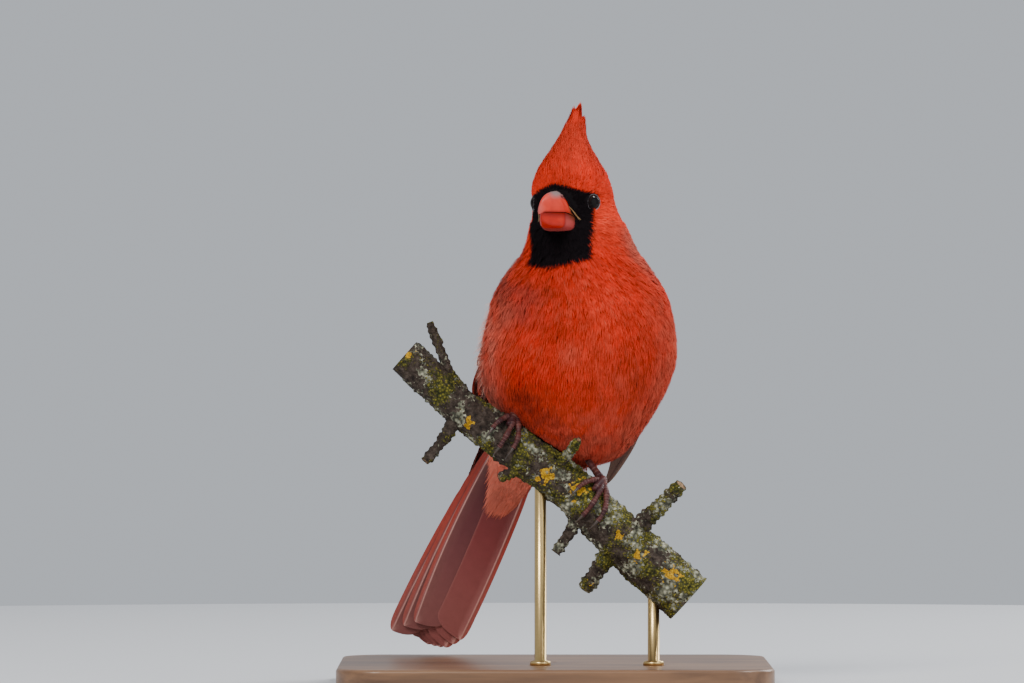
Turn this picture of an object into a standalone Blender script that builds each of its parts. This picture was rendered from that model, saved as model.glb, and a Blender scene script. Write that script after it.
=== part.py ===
"""A life-size northern cardinal cock on a cut length of branch, held by a wooden display stand.

Sizes are in millimetres, and mesh_object turns them into metres. The bird looks along -Y and its left
is +X. Heights are above the table. The branch lies in the plane y = 0 of the empty "bird", which
moves the bird and the branch over the middle of the base.
"""

import math
import random

import bmesh
import bpy
from mathutils import Vector

MM = 0.001
GAP = 0.3
DRAW = random.Random(7)

# Stand
BASE_LENGTH = 150.0
BASE_DEPTH = 126.0
BASE_HEIGHT = 8.0
BASE_CORNER = 16.0
BIRD_SETBACK = -25.0
ROD_RADIUS = 2.0
ROD_PLACES = (-5.0, 34.0)

# Branch: across, height and radius of its middle line
BRANCH = (
    (-52.0, 114.6, 6.4),
    (-41.0, 104.9, 6.6),
    (-29.3, 94.2, 6.9),
    (-13.8, 83.2, 7.2),
    (1.7, 71.8, 7.6),
    (15.5, 59.1, 8.1),
    (29.3, 45.9, 8.7),
    (46.0, 30.9, 9.2),
)

# Body slices: height, middle x, middle y, half width, reach forwards, reach back, turn to the right
TORSO_SLICES = (
    (77.0, 9.4, 13.0, 5.0, 5.0, 5.0, 0.0),
    (78.5, 9.0, 13.2, 10.5, 9.5, 10.0, 0.0),
    (81.0, 8.4, 14.0, 15.5, 15.0, 15.0, 0.0),
    (86.0, 7.5, 14.8, 20.8, 21.0, 21.3, 0.0),
    (91.0, 7.2, 14.8, 25.0, 25.8, 25.8, 0.0),
    (97.0, 7.0, 13.8, 28.9, 29.2, 29.2, 0.0),
    (104.0, 7.2, 12.3, 32.2, 31.7, 31.7, 0.0),
    (112.0, 8.0, 10.3, 34.0, 32.8, 32.8, 0.0),
    (120.0, 8.5, 7.8, 33.6, 32.2, 32.2, 0.0),
    (128.0, 8.8, 5.1, 32.0, 30.4, 30.4, 0.0),
    (135.0, 8.9, 2.8, 29.8, 27.7, 27.7, 2.0),
    (141.0, 9.0, 0.5, 26.2, 24.5, 24.5, 6.0),
    (146.0, 9.2, -1.4, 22.4, 21.3, 21.3, 10.0),
    (150.0, 9.2, -3.0, 19.6, 18.4, 18.6, 14.0),
    (154.0, 9.0, -4.6, 17.8, 16.4, 17.0, 19.0),
    (158.0, 8.3, -6.0, 16.6, 15.0, 16.0, 23.0),
    (162.0, 7.4, -7.2, 15.3, 13.6, 15.4, 25.0),
    (167.0, 6.4, -8.0, 14.0, 12.8, 15.2, 25.0),
    (172.0, 5.9, -7.9, 13.4, 12.0, 15.0, 25.0),
    (176.5, 5.9, -7.0, 12.4, 10.6, 13.8, 25.0),
    (181.5, 5.9, -5.2, 9.2, 8.6, 11.4, 25.0),
    (187.0, 5.9, -2.8, 4.5, 5.2, 7.0, 25.0),
    (192.0, 6.3, -1.4, 2.5, 3.2, 4.2, 25.0),
)
BODY_SIDES = 26
TORSO_BOTTOM = 77.0
NECK_HEIGHT = 146.0
HEAD_HEIGHT = 157.0
CROWN_HEIGHT = 178.0
CREST_CORE_TOP = 190.0

# Head: forward, sideways and up are measured from its middle
HEAD_MIDDLE = Vector((5.9, -8.0, 166.6))
HEAD_TURN = math.radians(25.0)
EYE_RADIUS = 3.4
EYE_PLACE = (6.0, 9.4, 0.6)
EYE_OUT = (0.55, 0.83)
LID_RADIUS = 2.8
LID_RISE = 2.5
LID_THICKNESS = 0.6
BILL_BASE = 8.0
BILL_TIP = 27.2
BILL_TAPER = 11.5
BILL_HALF_WIDTH = 6.4
BILL_SHORTER_BELOW = 1.2
CULMEN_HEIGHT = 4.4
CHIN_HEIGHT = -9.3
MOUTH_HEIGHT = -2.9
GAPE_DROP = 2.9
GAPE_LENGTH = 8.5
BILL_FACE = (150.0, 176.0)
CREST_TIP = Vector((8.4, 0.4, 201.0))
# Crest rows: feathers in the ring, how far above the crown it starts, and their length
CREST_ROWS = ((9, 0.5, 10.0), (7, 3.4, 11.5), (5, 6.3, 13.5))
TIP_FOOT = Vector((7.6, -2.0, 186.0))
TIP_HALF_WIDTH = 1.2
# The last feathers: how far each tip lies to the side of the highest one, and below it
CREST_TIPS = ((-2.4, 1.3), (0.5, 0.0), (0.9, 5.2), (-1.4, 3.8))
NOSTRIL = (14.2, 4.8, 2.0)
NOSTRIL_RADIUS = 0.65

# Tail
TAIL_ROOT = Vector((-8.0, 35.0, 93.9))
TAIL_WAY = Vector((-0.385, 0.47, -0.795)).normalized()
TAIL_LENGTH = 102.0
NARROW_WEB = 2.2
WIDE_WEB = 8.8
TAIL_PAIRS = 6
FIRST_SHAFT = 2.2
SHAFT_STEP = 1.4
SHAFT_FOOT = 3.0
TAIL_SPREAD = 0.003
SHORTER_BY_PAIR = 1.3
OUTER_PAIR_SHORTER = 5.0
FEATHER_THICKNESS = 0.6
COVERT_THICKNESS = 0.9
LAYER = 0.42
# The tail's fleshy base: along it, half width and half depth
TAIL_BASE = ((0, 12, 9), (8, 11.5, 8), (18, 10.5, 5.6), (30, 9, 3.4), (40, 7, 1.8))
TAIL_BASE_SIDES = 14
# Rows of tail coverts: where they start, their length, how deep they lie there and at their tips, half width
TAIL_COVERTS = ((22, 20, 4.9, 3.6, 9.0), (14, 18, 6.4, 4.9, 9.6), (7, 15, 8.2, 6.2, 10.4))
TAIL_COVERTS_A_ROW = 3
TAIL_COVERT_HALF = 3.4

# Legs: where each foot stands on the branch, where its heel is, and for each toe how far it spreads
# along the branch and how far it turns round it
FEET = {
    "left": {
        "across": 9.6,
        "heel": Vector((7.3, 9.0, 84.5)),
        "toes": ((-3.2, 76.0), (2.4, 112.0), (6.0, 98.0), (-1.4, -82.0)),
    },
    "right": {
        "across": -18.9,
        "heel": Vector((-10.5, 9.5, 102.0)),
        "toes": ((-3.2, 82.0), (1.4, 110.0), (4.8, 94.0), (-1.0, -82.0)),
    },
}
TARSUS_RADIUS = 1.15
TOE_RADIUS = 1.0
TOE_TAPER = 0.3
TOE_SWELL = 0.14
TOE_JOINTS = 3
TOE_STEPS = 7
KNUCKLE_RADIUS = 1.75
KNUCKLE_RISE = 1.5
KNUCKLE_TURN = 12.0
ANKLE = 2.9
CLAW_RADIUS = 0.62
CLAW_RISE = 0.75
CLAW_ARCH = 0.5
CLAW_TURN = 34.0
BARK_SWELL = 1.03


def hermite(rows, at):
    """The values of a table's row at this first value, on a smooth curve through the rows."""
    last = len(rows) - 2
    k = max(0, min(last, sum(1 for row in rows if row[0] <= at) - 1))
    before, low, high, after = rows[max(k - 1, 0)], rows[k], rows[k + 1], rows[min(k + 2, last + 1)]
    span = high[0] - low[0]
    t = (at - low[0]) / span
    found = []
    for i in range(1, len(low)):
        start = (high[i] - before[i]) / (high[0] - before[0]) * span
        end = (after[i] - low[i]) / (after[0] - low[0]) * span
        found.append(
            (2 * t**3 - 3 * t**2 + 1) * low[i]
            + (t**3 - 2 * t**2 + t) * start
            + (3 * t**2 - 2 * t**3) * high[i]
            + (t**3 - t**2) * end
        )
    return found


def material(name, colour, roughness, metallic=0.0):
    made = bpy.data.materials.new(name)
    made.use_nodes = True
    shader = made.node_tree.nodes["Principled BSDF"]
    shader.inputs["Base Color"].default_value = (*colour, 1.0)
    shader.inputs["Roughness"].default_value = roughness
    shader.inputs["Metallic"].default_value = metallic
    made.diffuse_color = (*colour, 1.0)
    return made


def mesh_object(name, points, faces, finish, parent=None):
    """A closed mesh, its faces turned outwards, from points in millimetres."""
    mesh = bpy.data.meshes.new(name)
    mesh.from_pydata([tuple(Vector(p) * MM) for p in points], [], faces)
    shape = bmesh.new()
    shape.from_mesh(mesh)
    bmesh.ops.recalc_face_normals(shape, faces=shape.faces)
    if shape.calc_volume(signed=True) < 0:
        bmesh.ops.reverse_faces(shape, faces=shape.faces)
    shape.to_mesh(mesh)
    shape.free()
    mesh.materials.append(finish)
    made = bpy.data.objects.new(name, mesh)
    bpy.context.scene.collection.objects.link(made)
    made.parent = parent
    return made


def loft(rings, tip=None, foot=None):
    """(points, faces) of a skin over rings of like count, with flat ends or a point at either end."""
    count = len(rings[0])
    points = [p for ring in rings for p in ring]
    faces = []
    for k in range(len(rings) - 1):
        for i in range(count):
            a, b = k * count + i, k * count + (i + 1) % count
            faces += [(a, b, b + count), (a, b + count, a + count)]
    for end, row in ((foot, 0), (tip, len(rings) - 1)):
        edge = [row * count + i for i in range(count)]
        if end is None:
            faces.append(tuple(edge))
        else:
            points.append(end)
            faces += [(edge[i], edge[(i + 1) % count], len(points) - 1) for i in range(count)]
    return points, faces


def evaluated_copy(target):
    """Applies the object's modifiers and keeps its largest closed surface."""
    graph = bpy.context.evaluated_depsgraph_get()
    mesh = bpy.data.meshes.new_from_object(target.evaluated_get(graph))
    target.modifiers.clear()
    target.data = mesh
    shape = bmesh.new()
    shape.from_mesh(mesh)
    bmesh.ops.triangulate(shape, faces=shape.faces)
    left = set(shape.verts)
    islands = []
    while left:
        island, edge = set(), [left.pop()]
        while edge:
            vert = edge.pop()
            island.add(vert)
            for link in vert.link_edges:
                other = link.other_vert(vert)
                if other in left:
                    left.discard(other)
                    edge.append(other)
        islands.append(island)
    islands.sort(key=len)
    for island in islands[:-1]:
        bmesh.ops.delete(shape, geom=list(island), context="VERTS")
    shape.to_mesh(mesh)
    shape.free()
    return target


def boolean(target, others, operation, solver="MANIFOLD"):
    """Joins the others to the target, or cuts them from it, and removes them."""
    group = bpy.data.collections.new("others")
    bpy.context.scene.collection.children.link(group)
    for other in others:
        for home in list(other.users_collection):
            home.objects.unlink(other)
        group.objects.link(other)
    change = target.modifiers.new("join", "BOOLEAN")
    change.operation = operation
    change.operand_type = "COLLECTION"
    change.collection = group
    change.solver = solver
    bpy.context.view_layer.update()
    evaluated_copy(target)
    for other in others:
        bpy.data.objects.remove(other)
    bpy.data.collections.remove(group)
    return target


# Branch


def branch_at(across):
    """The middle of the branch there, its direction downhill, and its radius."""
    height, radius = hermite(BRANCH, across)
    step = 0.5
    ahead = hermite(BRANCH, across + step)[0]
    way = Vector((step, 0.0, ahead - height)).normalized()
    return Vector((across, 0.0, height)), way, radius


def branch_ring(across, extra, sides, rough):
    middle, way, radius = branch_at(across)
    up = way.cross(Vector((0.0, 1.0, 0.0))).normalized()
    up = up if up.z > 0 else -up
    ring = []
    for i in range(sides):
        angle = 2 * math.pi * i / sides
        bumps = 1 + rough * (math.sin(3 * angle + across * 0.21) + math.sin(2 * angle - across * 0.13))
        reach = radius * bumps + extra
        ring.append(middle + reach * (math.cos(angle) * up + math.sin(angle) * Vector((0, 1, 0))))
    return ring


def branch_shape(name, extra, sides, steps, finish, parent, rough=0.015):
    first, last = BRANCH[0][0], BRANCH[-1][0]
    rings = [
        branch_ring(first + (last - first) * k / steps, extra, sides, rough) for k in range(steps + 1)
    ]
    return mesh_object(name, *loft(rings), finish, parent)


def tube(name, path, radii, sides, finish, parent, pointed=False):
    """A round bar along a path of points, with a radius at each, flat or pointed at its end."""
    rings = []
    side = None
    for k, point in enumerate(path):
        ahead = path[min(k + 1, len(path) - 1)] - path[max(k - 1, 0)]
        way = ahead.normalized()
        guess = side if side is not None else way.orthogonal()
        side = (guess - guess.dot(way) * way).normalized()
        other = way.cross(side)
        turns = [2 * math.pi * i / sides for i in range(sides)]
        rings.append([point + radii[k] * (math.cos(t) * side + math.sin(t) * other) for t in turns])
    if pointed:
        return mesh_object(name, *loft(rings[:-1], tip=path[-1]), finish, parent)
    return mesh_object(name, *loft(rings), finish, parent)


# Stubs: where they leave the branch, the turn round it, length, radius, lean along it and bend
STUBS = (
    (-30.4, 8.0, 25.0, 1.8, -2.0, 2.0),
    (-32.5, 165.0, 16.0, 2.1, 0.38, 5.0),
    (-7.0, 160.0, 6.5, 1.9, -0.5, 0.5),
    (-1.5, 50.0, 13.0, 1.5, 0.1, 2.5),
    (10.5, 178.0, 12.0, 2.1, 0.33, 2.0),
    (22.5, 188.0, 14.0, 3.1, 0.2, 0.5),
    (23.5, 20.0, 19.0, 2.8, 0.1, 2.5),
)
# Along a stub: shares of its length, and its radius there as a share of its own
STUB_SHARES = (0.0, 0.4, 0.7, 0.88, 1.0)
STUB_SWELL = (1.5, 1.25, 0.95, 1.05, 0.8)
STUB_BEND_UP = Vector((0.0, 0.0, 1.0))
STUB_BEND_DOWN = Vector((-0.9, 0.0, 0.45))


def perch(finish, parent):
    branch = branch_shape("perch_branch", 0.0, 16, 20, finish, parent)
    stubs = []
    for number, (across, turn, length, radius, lean, bend) in enumerate(STUBS):
        middle, way, _ = branch_at(across)
        up = way.cross(Vector((0, 1, 0)))
        up = (up if up.z > 0 else -up).normalized()
        angle = math.radians(turn)
        out = (math.cos(angle) * up + math.sin(angle) * Vector((0, -1, 0)) + lean * way).normalized()
        reach = hermite(BRANCH, across)[1] + length
        aside = (STUB_BEND_UP if out.z > 0 else STUB_BEND_DOWN) * bend
        path = [middle + out * reach * share + aside * share**2 for share in STUB_SHARES]
        radii = [radius * swell for swell in STUB_SWELL]
        stubs.append(tube(f"stub_{number}", path, radii, 7, finish, parent))
    return boolean(branch, stubs, "UNION")


# Body


def slice_ring(height, extra=0.0, sides=BODY_SIDES):
    """A level ring round the body, its first point in front."""
    x, y, half, front, back, turn = hermite(TORSO_SLICES, height)
    turn = math.radians(turn)
    ahead = Vector((-math.sin(turn), -math.cos(turn), 0.0))
    left = Vector((math.cos(turn), -math.sin(turn), 0.0))
    ring = []
    for i in range(sides):
        angle = 2 * math.pi * i / sides
        reach = (front if math.cos(angle) > 0 else back) + extra
        ring.append(
            Vector((x, y, height))
            + ahead * reach * math.cos(angle)
            + left * (half + extra) * math.sin(angle)
        )
    return ring


def body_piece(name, low, high, steps, finish, parent, extra=0.0):
    heights = [low + (high - low) * k / steps for k in range(steps + 1)]
    return mesh_object(name, *loft([slice_ring(h, extra) for h in heights]), finish, parent)


def head_point(forward, sideways, up):
    """A point given from the middle of the head, sideways to the bird's left."""
    ahead = Vector((-math.sin(HEAD_TURN), -math.cos(HEAD_TURN), 0.0))
    left = Vector((math.cos(HEAD_TURN), -math.sin(HEAD_TURN), 0.0))
    return HEAD_MIDDLE + ahead * forward + left * sideways + Vector((0, 0, up))


def ball(name, middle, radius, finish, parent, rings=10, sides=16):
    levels = [math.pi * k / rings for k in range(1, rings)]
    turns = [2 * math.pi * i / sides for i in range(sides)]
    made = [
        [
            middle + radius * Vector((math.sin(a) * math.cos(t), math.sin(a) * math.sin(t), math.cos(a)))
            for t in turns
        ]
        for a in levels
    ]
    top, bottom = middle + Vector((0, 0, radius)), middle - Vector((0, 0, radius))
    return mesh_object(name, *loft(made, tip=bottom, foot=top), finish, parent)


def torus(name, middle, normal, radius, thickness, finish, parent, sides=16, round_sides=5):
    normal = normal.normalized()
    first = normal.orthogonal().normalized()
    second = normal.cross(first)
    points, faces = [], []
    for i in range(sides):
        turn = 2 * math.pi * i / sides
        out = math.cos(turn) * first + math.sin(turn) * second
        for j in range(round_sides):
            tilt = 2 * math.pi * j / round_sides
            points.append(
                middle + out * (radius + thickness * math.cos(tilt)) + normal * thickness * math.sin(tilt)
            )
    for i in range(sides):
        for j in range(round_sides):
            a, b = i * round_sides + j, i * round_sides + (j + 1) % round_sides
            c, d = (a + round_sides) % len(points), (b + round_sides) % len(points)
            faces += [(a, b, d), (a, d, c)]
    return mesh_object(name, points, faces, finish, parent)


def bill_half(name, edge, finish, parent):
    """One mandible: level at the mouth, round on its outer side, with its line dropping at the gape."""
    upper = edge == "upper"
    steps, sides = 9, 10
    rings = []
    for k in range(steps):
        share = k / steps
        forward = BILL_BASE + (BILL_TIP - BILL_BASE) * share
        late = max(0.0, (forward - BILL_TAPER) / (BILL_TIP - BILL_TAPER))
        half = BILL_HALF_WIDTH * max(0.06, 1 - late**1.9) * (1.0 if upper else 0.95)
        drop = GAPE_DROP * max(0.0, 1 - (forward - BILL_BASE) / GAPE_LENGTH) ** 1.3
        mouth = MOUTH_HEIGHT - drop
        if upper:
            outer = CULMEN_HEIGHT * (1 - late**2.2) + (MOUTH_HEIGHT - 0.6) * late**2.2
            outer = max(outer, mouth + 0.5)
            level = mouth + GAP / 2
        else:
            outer = CHIN_HEIGHT * (1 - late**2.3) + (MOUTH_HEIGHT - 0.5) * late**2.3
            level = mouth - GAP / 2
        ring = []
        for i in range(sides + 1):
            angle = math.pi * i / sides
            side = half * math.cos(angle)
            height = level + (outer - level) * math.sin(angle) ** (1.3 if upper else 0.45)
            ring.append(head_point(forward, side, height))
        rings.append(ring)
    if upper:
        tip = head_point(BILL_TIP, 0.0, MOUTH_HEIGHT + GAP / 2 + 0.1)
    else:
        tip = head_point(BILL_TIP - BILL_SHORTER_BELOW, 0.0, MOUTH_HEIGHT - GAP / 2 - 0.1)
    bill = mesh_object(name, *loft(rings, tip=tip), finish, parent)
    cutters = [body_piece("cutter", *BILL_FACE, 14, finish, parent, extra=GAP)]
    if upper:
        forward, sideways, up = NOSTRIL
        for side in (1, -1):
            place = head_point(forward, sideways * side, up)
            cutters.append(ball("nostril", place, NOSTRIL_RADIUS, finish, parent, 6, 8))
    return boolean(bill, cutters, "DIFFERENCE")


def head(finish, parent):
    made = body_piece("head", HEAD_HEIGHT + GAP / 2, CROWN_HEIGHT - GAP / 2, 9, finish, parent)
    lids, sockets = [], []
    for side in (1, -1):
        forward, sideways, up = EYE_PLACE
        middle = head_point(forward, sideways * side, up)
        out = head_point(forward + EYE_OUT[0], (sideways + EYE_OUT[1]) * side, up) - middle
        lids.append(
            torus("lid", middle + out.normalized() * LID_RISE, out, LID_RADIUS, LID_THICKNESS, finish, parent)
        )
        sockets.append(ball("socket", middle, EYE_RADIUS + GAP, finish, parent, 8, 14))
    boolean(made, lids, "UNION")
    return boolean(made, sockets, "DIFFERENCE")


def eyes(finish, parent):
    forward, sideways, up = EYE_PLACE
    for name, side in (("eye_left", 1), ("eye_right", -1)):
        ball(name, head_point(forward, sideways * side, up), EYE_RADIUS, finish, parent)


# Feathers


def vane(name, sections, finish, parent):
    """A thin plate over sections of four corners, split into triangles alike on both faces."""
    return mesh_object(name, *loft(sections), finish, parent)


def feather_widths(share, root=0.45, shoulder=0.72, blunt=0.3):
    """How wide a feather is, as a share of its widest, from root (0) to tip (1)."""
    if share < shoulder:
        return root + (1 - root) * math.sin(min(1.0, share / 0.4) * math.pi / 2)
    late = (share - shoulder) / (1 - shoulder)
    return max(blunt, math.sqrt(max(0.0, 1 - late**2.2)))


def straight_vane(name, root, way, side, normal, length, inner, outer, thickness, finish, parent):
    """A flat feather from its root along way, with unlike widths on its two sides."""
    sections = []
    for share in (0.0, 0.7, 0.92, 1.0):
        width = feather_widths(share)
        middle = root + way * length * share
        thin = thickness * (1.0 if share < 0.9 else 0.7)
        low, high = middle - normal * thin / 2, middle + normal * thin / 2
        sections.append(
            [
                low - side * inner * width,
                low + side * outer * width,
                high + side * outer * width,
                high - side * inner * width,
            ]
        )
    return vane(name, sections, finish, parent)


def crest(finish, parent):
    """A short core on the crown with rows of feathers that rise and lean back to two tips."""
    low = CROWN_HEIGHT + GAP / 2
    made = body_piece("crest", low, CREST_CORE_TOP, 5, finish, parent)
    vanes = []
    for count, rise, reach in CREST_ROWS:
        ring = slice_ring(low + rise, -1.1, count)
        middle = sum(ring, Vector()) / len(ring)
        for root in ring:
            out = (root - middle).normalized()
            aim = CREST_TIP + out * 0.4 + Vector((DRAW.uniform(-1.8, 0.0), 0, 0)) - root
            way = aim.normalized()
            normal = (out - out.dot(way) * way).normalized()
            length = min(reach + DRAW.uniform(-1.0, 1.0), aim.length)
            half = 1.65 - 0.05 * rise
            vanes.append(
                straight_vane(
                    "vane", root, way, way.cross(normal), normal, length, half, half,
                    FEATHER_THICKNESS, finish, parent,
                )
            )
    for shift, drop in CREST_TIPS:
        root = TIP_FOOT + Vector((0.3 * shift, 0.0, 0.0))
        aim = CREST_TIP + Vector((shift, 0.3, -drop)) - root
        way = aim.normalized()
        normal = (Vector((0, -1, 0)) + way * way.y).normalized()
        vanes.append(
            straight_vane(
                "tip", root, way, way.cross(normal), normal, aim.length, TIP_HALF_WIDTH,
                TIP_HALF_WIDTH, FEATHER_THICKNESS, finish, parent,
            )
        )
    return boolean(made, vanes, "UNION")


def tail(finish, parent):
    """Twelve folded feathers in six tiers, with coverts over their roots above and below."""
    belly = (Vector((0, -1, 0)) - TAIL_WAY * TAIL_WAY.dot(Vector((0, -1, 0)))).normalized()
    side = TAIL_WAY.cross(belly).normalized()
    side = side if side.x > 0 else -side
    rings = []
    turns = [2 * math.pi * i / TAIL_BASE_SIDES for i in range(TAIL_BASE_SIDES)]
    for along, half, thick in TAIL_BASE:
        middle = TAIL_ROOT + TAIL_WAY * along
        rings.append(
            [middle + side * half * math.cos(t) + belly * thick * math.sin(t) for t in turns]
        )
    made = mesh_object("tail", *loft(rings), finish, parent)
    vanes = []
    middle_pair = (TAIL_PAIRS - 1) / 2
    for pair in range(TAIL_PAIRS):
        for wing in (1, -1):
            across = wing * (FIRST_SHAFT + SHAFT_STEP * pair)
            layer = (pair - middle_pair) * 2 * LAYER + (LAYER if wing > 0 else 0.0)
            length = TAIL_LENGTH - SHAFT_FOOT - SHORTER_BY_PAIR * abs(pair - 2.0)
            if pair == TAIL_PAIRS - 1:
                length -= OUTER_PAIR_SHORTER
            way = (TAIL_WAY + side * wing * TAIL_SPREAD * pair).normalized()
            across_way = (side - way * side.dot(way)).normalized()
            root = TAIL_ROOT + TAIL_WAY * SHAFT_FOOT + across_way * across + belly * layer
            inner, outer = (WIDE_WEB, NARROW_WEB) if wing > 0 else (NARROW_WEB, WIDE_WEB)
            vanes.append(
                straight_vane(
                    "vane", root, way, across_way, belly, length, inner, outer,
                    FEATHER_THICKNESS, finish, parent,
                )
            )
    for face in (1, -1):
        for start, reach, deep_root, deep_tip, width in TAIL_COVERTS:
            depths = (deep_root, deep_tip)
            vanes += tail_coverts(side, belly * face, start, reach, depths, width, finish, parent)
    return boolean(made, vanes, "UNION")


def tail_coverts(side, outward, start, reach, depths, width, finish, parent):
    """One row of coverts over one face of the tail's base."""
    deep_root, deep_tip = depths
    vanes = []
    for k in range(TAIL_COVERTS_A_ROW):
        share = (k + 0.5) / TAIL_COVERTS_A_ROW * 2 - 1
        round_off = 0.8 * math.sqrt(1 - (share * 0.75) ** 2)
        root = (
            TAIL_ROOT
            + TAIL_WAY * start
            + side * share * width * 0.75
            + outward * deep_root * round_off
        )
        end = (
            TAIL_ROOT
            + TAIL_WAY * (start + reach)
            + side * share * width * 0.62
            + outward * (deep_tip - 0.9 * abs(share))
        )
        way = (end - root).normalized()
        normal = (outward - way * way.dot(outward)).normalized()
        vanes.append(
            straight_vane(
                "covert", root, way, normal.cross(way), normal, reach, TAIL_COVERT_HALF,
                TAIL_COVERT_HALF, FEATHER_THICKNESS, finish, parent,
            )
        )
    return vanes


# Flight feathers of a wing: how many, how many of them reach the tip, and what each next one lacks
REMIGES = 11
PRIMARIES = 5
SECONDARY_TIP = 0.86
TIP_STEP = 0.02
REMEX_STEP = 0.21
# Tiers of wing coverts: first and last share of the wing, how many, how far out they lie, half width
WING_COVERTS = ((0.2, 0.5, 6, 2.0, 4.3), (0.1, 0.33, 5, 2.1, 4.1), (0.03, 0.2, 4, 1.7, 4.1))
# Wing slices: share from the bend to the tip, middle of the bend, radius sideways, radius at the back
WING_SHEETS = {
    "left": (
        (0.0, (9.5, 2.0, 141.0), 20.5, 19.0),
        (0.3, (9.0, 8.0, 124.0), 29.5, 29.5),
        (0.6, (7.5, 16.0, 104.0), 31.0, 27.5),
        (0.85, (4.0, 30.0, 85.0), 27.5, 21.5),
        (1.0, (0.5, 40.0, 71.5), 21.5, 15.5),
    ),
    "right": (
        (0.0, (8.5, 2.0, 141.0), 20.5, 19.0),
        (0.3, (8.8, 8.0, 124.0), 30.0, 29.5),
        (0.6, (6.0, 14.5, 104.0), 38.0, 28.5),
        (0.85, (-1.0, 27.0, 92.0), 28.0, 23.5),
        (1.0, (-6.0, 36.0, 82.0), 21.0, 18.5),
    ),
}


def wing_point(which, share, turn, rise):
    """A point on the folded wing: along it, round the back from its lower edge, and out from the body."""
    rows = [(s, *middle, wide, deep) for s, middle, wide, deep in WING_SHEETS[which]]
    x, y, z, wide, deep = hermite(rows, share)
    sign = 1 if which == "left" else -1
    return Vector(
        (x + sign * (wide + rise) * math.cos(turn), y + (deep + rise) * math.sin(turn), z)
    )


def wing_vane(which, start, end, half, low, thickness, shares, finish, parent):
    """A feather on the wing from (share, turn) to (share, turn), as wide as half at each side."""
    sections = []
    for share in shares:
        along = start[0] + (end[0] - start[0]) * share
        turn = start[1] + (end[1] - start[1]) * share
        rows = [(s, wide) for s, _, wide, _ in WING_SHEETS[which]]
        spread = half * feather_widths(share) / hermite(rows, along)[0]
        thin = thickness * (1.0 if share < 0.9 else 0.7)
        sections.append(
            [
                wing_point(which, along, turn - spread, low),
                wing_point(which, along, turn + spread, low),
                wing_point(which, along, turn + spread, low + thin),
                wing_point(which, along, turn - spread, low + thin),
            ]
        )
    return vane("vane", sections, finish, parent)


def wing_slab(name, which, first, last, edge, top, low, high, finish, parent, steps=6, across=6):
    """A closed slab over part of the wing, from one rise to another."""
    sections = []
    for k in range(steps + 1):
        share = first + (last - first) * k / steps
        lower, upper = edge(share), top(share)
        turns = [lower + (upper - lower) * i / across for i in range(across + 1)]
        under = [wing_point(which, share, t, low(share, t)) for t in turns]
        over = [wing_point(which, share, t, high(share, t)) for t in reversed(turns)]
        sections.append(under + over)
    return mesh_object(name, *loft(sections), finish, parent)


def lower_edge(share):
    return math.radians(8.0 + 34.0 * share)


def upper_edge(share):
    rise = math.sin(min(1.0, share / 0.45) * math.pi / 2)
    return math.radians(42.0 + 40.0 * rise - 16.0 * max(0.0, share - 0.6) / 0.4)


def wing(which, finish, parent):
    """One folded wing: its arm, its flight feathers from the lower edge up, and three tiers of coverts."""
    made = wing_slab(
        f"wing_{which}",
        which,
        0.02,
        0.62,
        lambda s: lower_edge(s) + 0.03,
        lambda s: upper_edge(s) - 0.05,
        lambda s, t: 0.0,
        lambda s, t: 1.6 + 1.4 * (t - lower_edge(s)) / (upper_edge(s) - lower_edge(s)) * min(1, 3 * s),
        finish,
        parent,
    )
    vanes = []
    for k in range(REMIGES):
        rank = k / (REMIGES - 1)
        start_share = 0.34 + 0.08 * rank
        if k < PRIMARIES:
            tip_share = 1.0 - TIP_STEP * k
        else:
            tip_share = SECONDARY_TIP - TIP_STEP * (k - PRIMARIES)
        start_turn = lower_edge(start_share) + 0.1 + 0.82 * rank * (
            upper_edge(start_share) - lower_edge(start_share) - 0.1
        )
        low_tip, high_tip = lower_edge(tip_share), upper_edge(tip_share)
        end_turn = low_tip + 0.06 + (0.02 + 0.78 * rank) * (high_tip - low_tip)
        half = 3.2 + 1.6 * rank
        vanes.append(
            wing_vane(
                which, (start_share, start_turn), (tip_share, end_turn), half,
                0.25 + REMEX_STEP * k, FEATHER_THICKNESS, (0.0, 0.4, 0.75, 0.93, 1.0), finish, parent,
            )
        )
    for start, end, number, rise, half in WING_COVERTS:
        for k in range(number):
            rank = (k + 0.5) / number
            s0, s1 = start, end - 0.05 * abs(rank - 0.5)
            t0 = lower_edge(s0) + rank * (upper_edge(s0) - lower_edge(s0))
            t1 = lower_edge(s1) + 0.02 + rank * (upper_edge(s1) - lower_edge(s1) - 0.05)
            vanes.append(
                wing_vane(
                    which, (s0, t0), (s1, t1), half, rise + 0.1 * k,
                    COVERT_THICKNESS, (0.0, 0.4, 0.8, 1.0), finish, parent,
                )
            )
    return boolean(made, vanes, "UNION")


def wing_room(which, finish, parent):
    """The space that a folded wing takes in the body's side."""
    return wing_slab(
        "room",
        which,
        -0.03,
        1.02,
        lambda s: lower_edge(s) - 0.08,
        lambda s: upper_edge(s) + 0.12,
        lambda s, t: -3 * GAP,
        lambda s, t: 12.0,
        finish,
        parent,
        steps=12,
    )


# Legs


def round_branch(place, degrees, rise):
    """A point this far off the branch, turned from its upper side to its front."""
    centre, way, size = branch_at(place)
    up = way.cross(Vector((0, 1, 0))).normalized()
    up = up if up.z > 0 else -up
    angle = math.radians(degrees)
    out = math.cos(angle) * up + math.sin(angle) * Vector((0, -1, 0))
    return centre + (size * BARK_SWELL + GAP + rise) * out


def leg_line(which):
    """The knuckle on the branch, the way up the shank from it, and the shank's length to the heel."""
    knuckle = round_branch(FEET[which]["across"], KNUCKLE_TURN, KNUCKLE_RISE)
    way = FEET[which]["heel"] - knuckle
    return knuckle, way.normalized(), way.length - ANKLE - GAP


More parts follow.
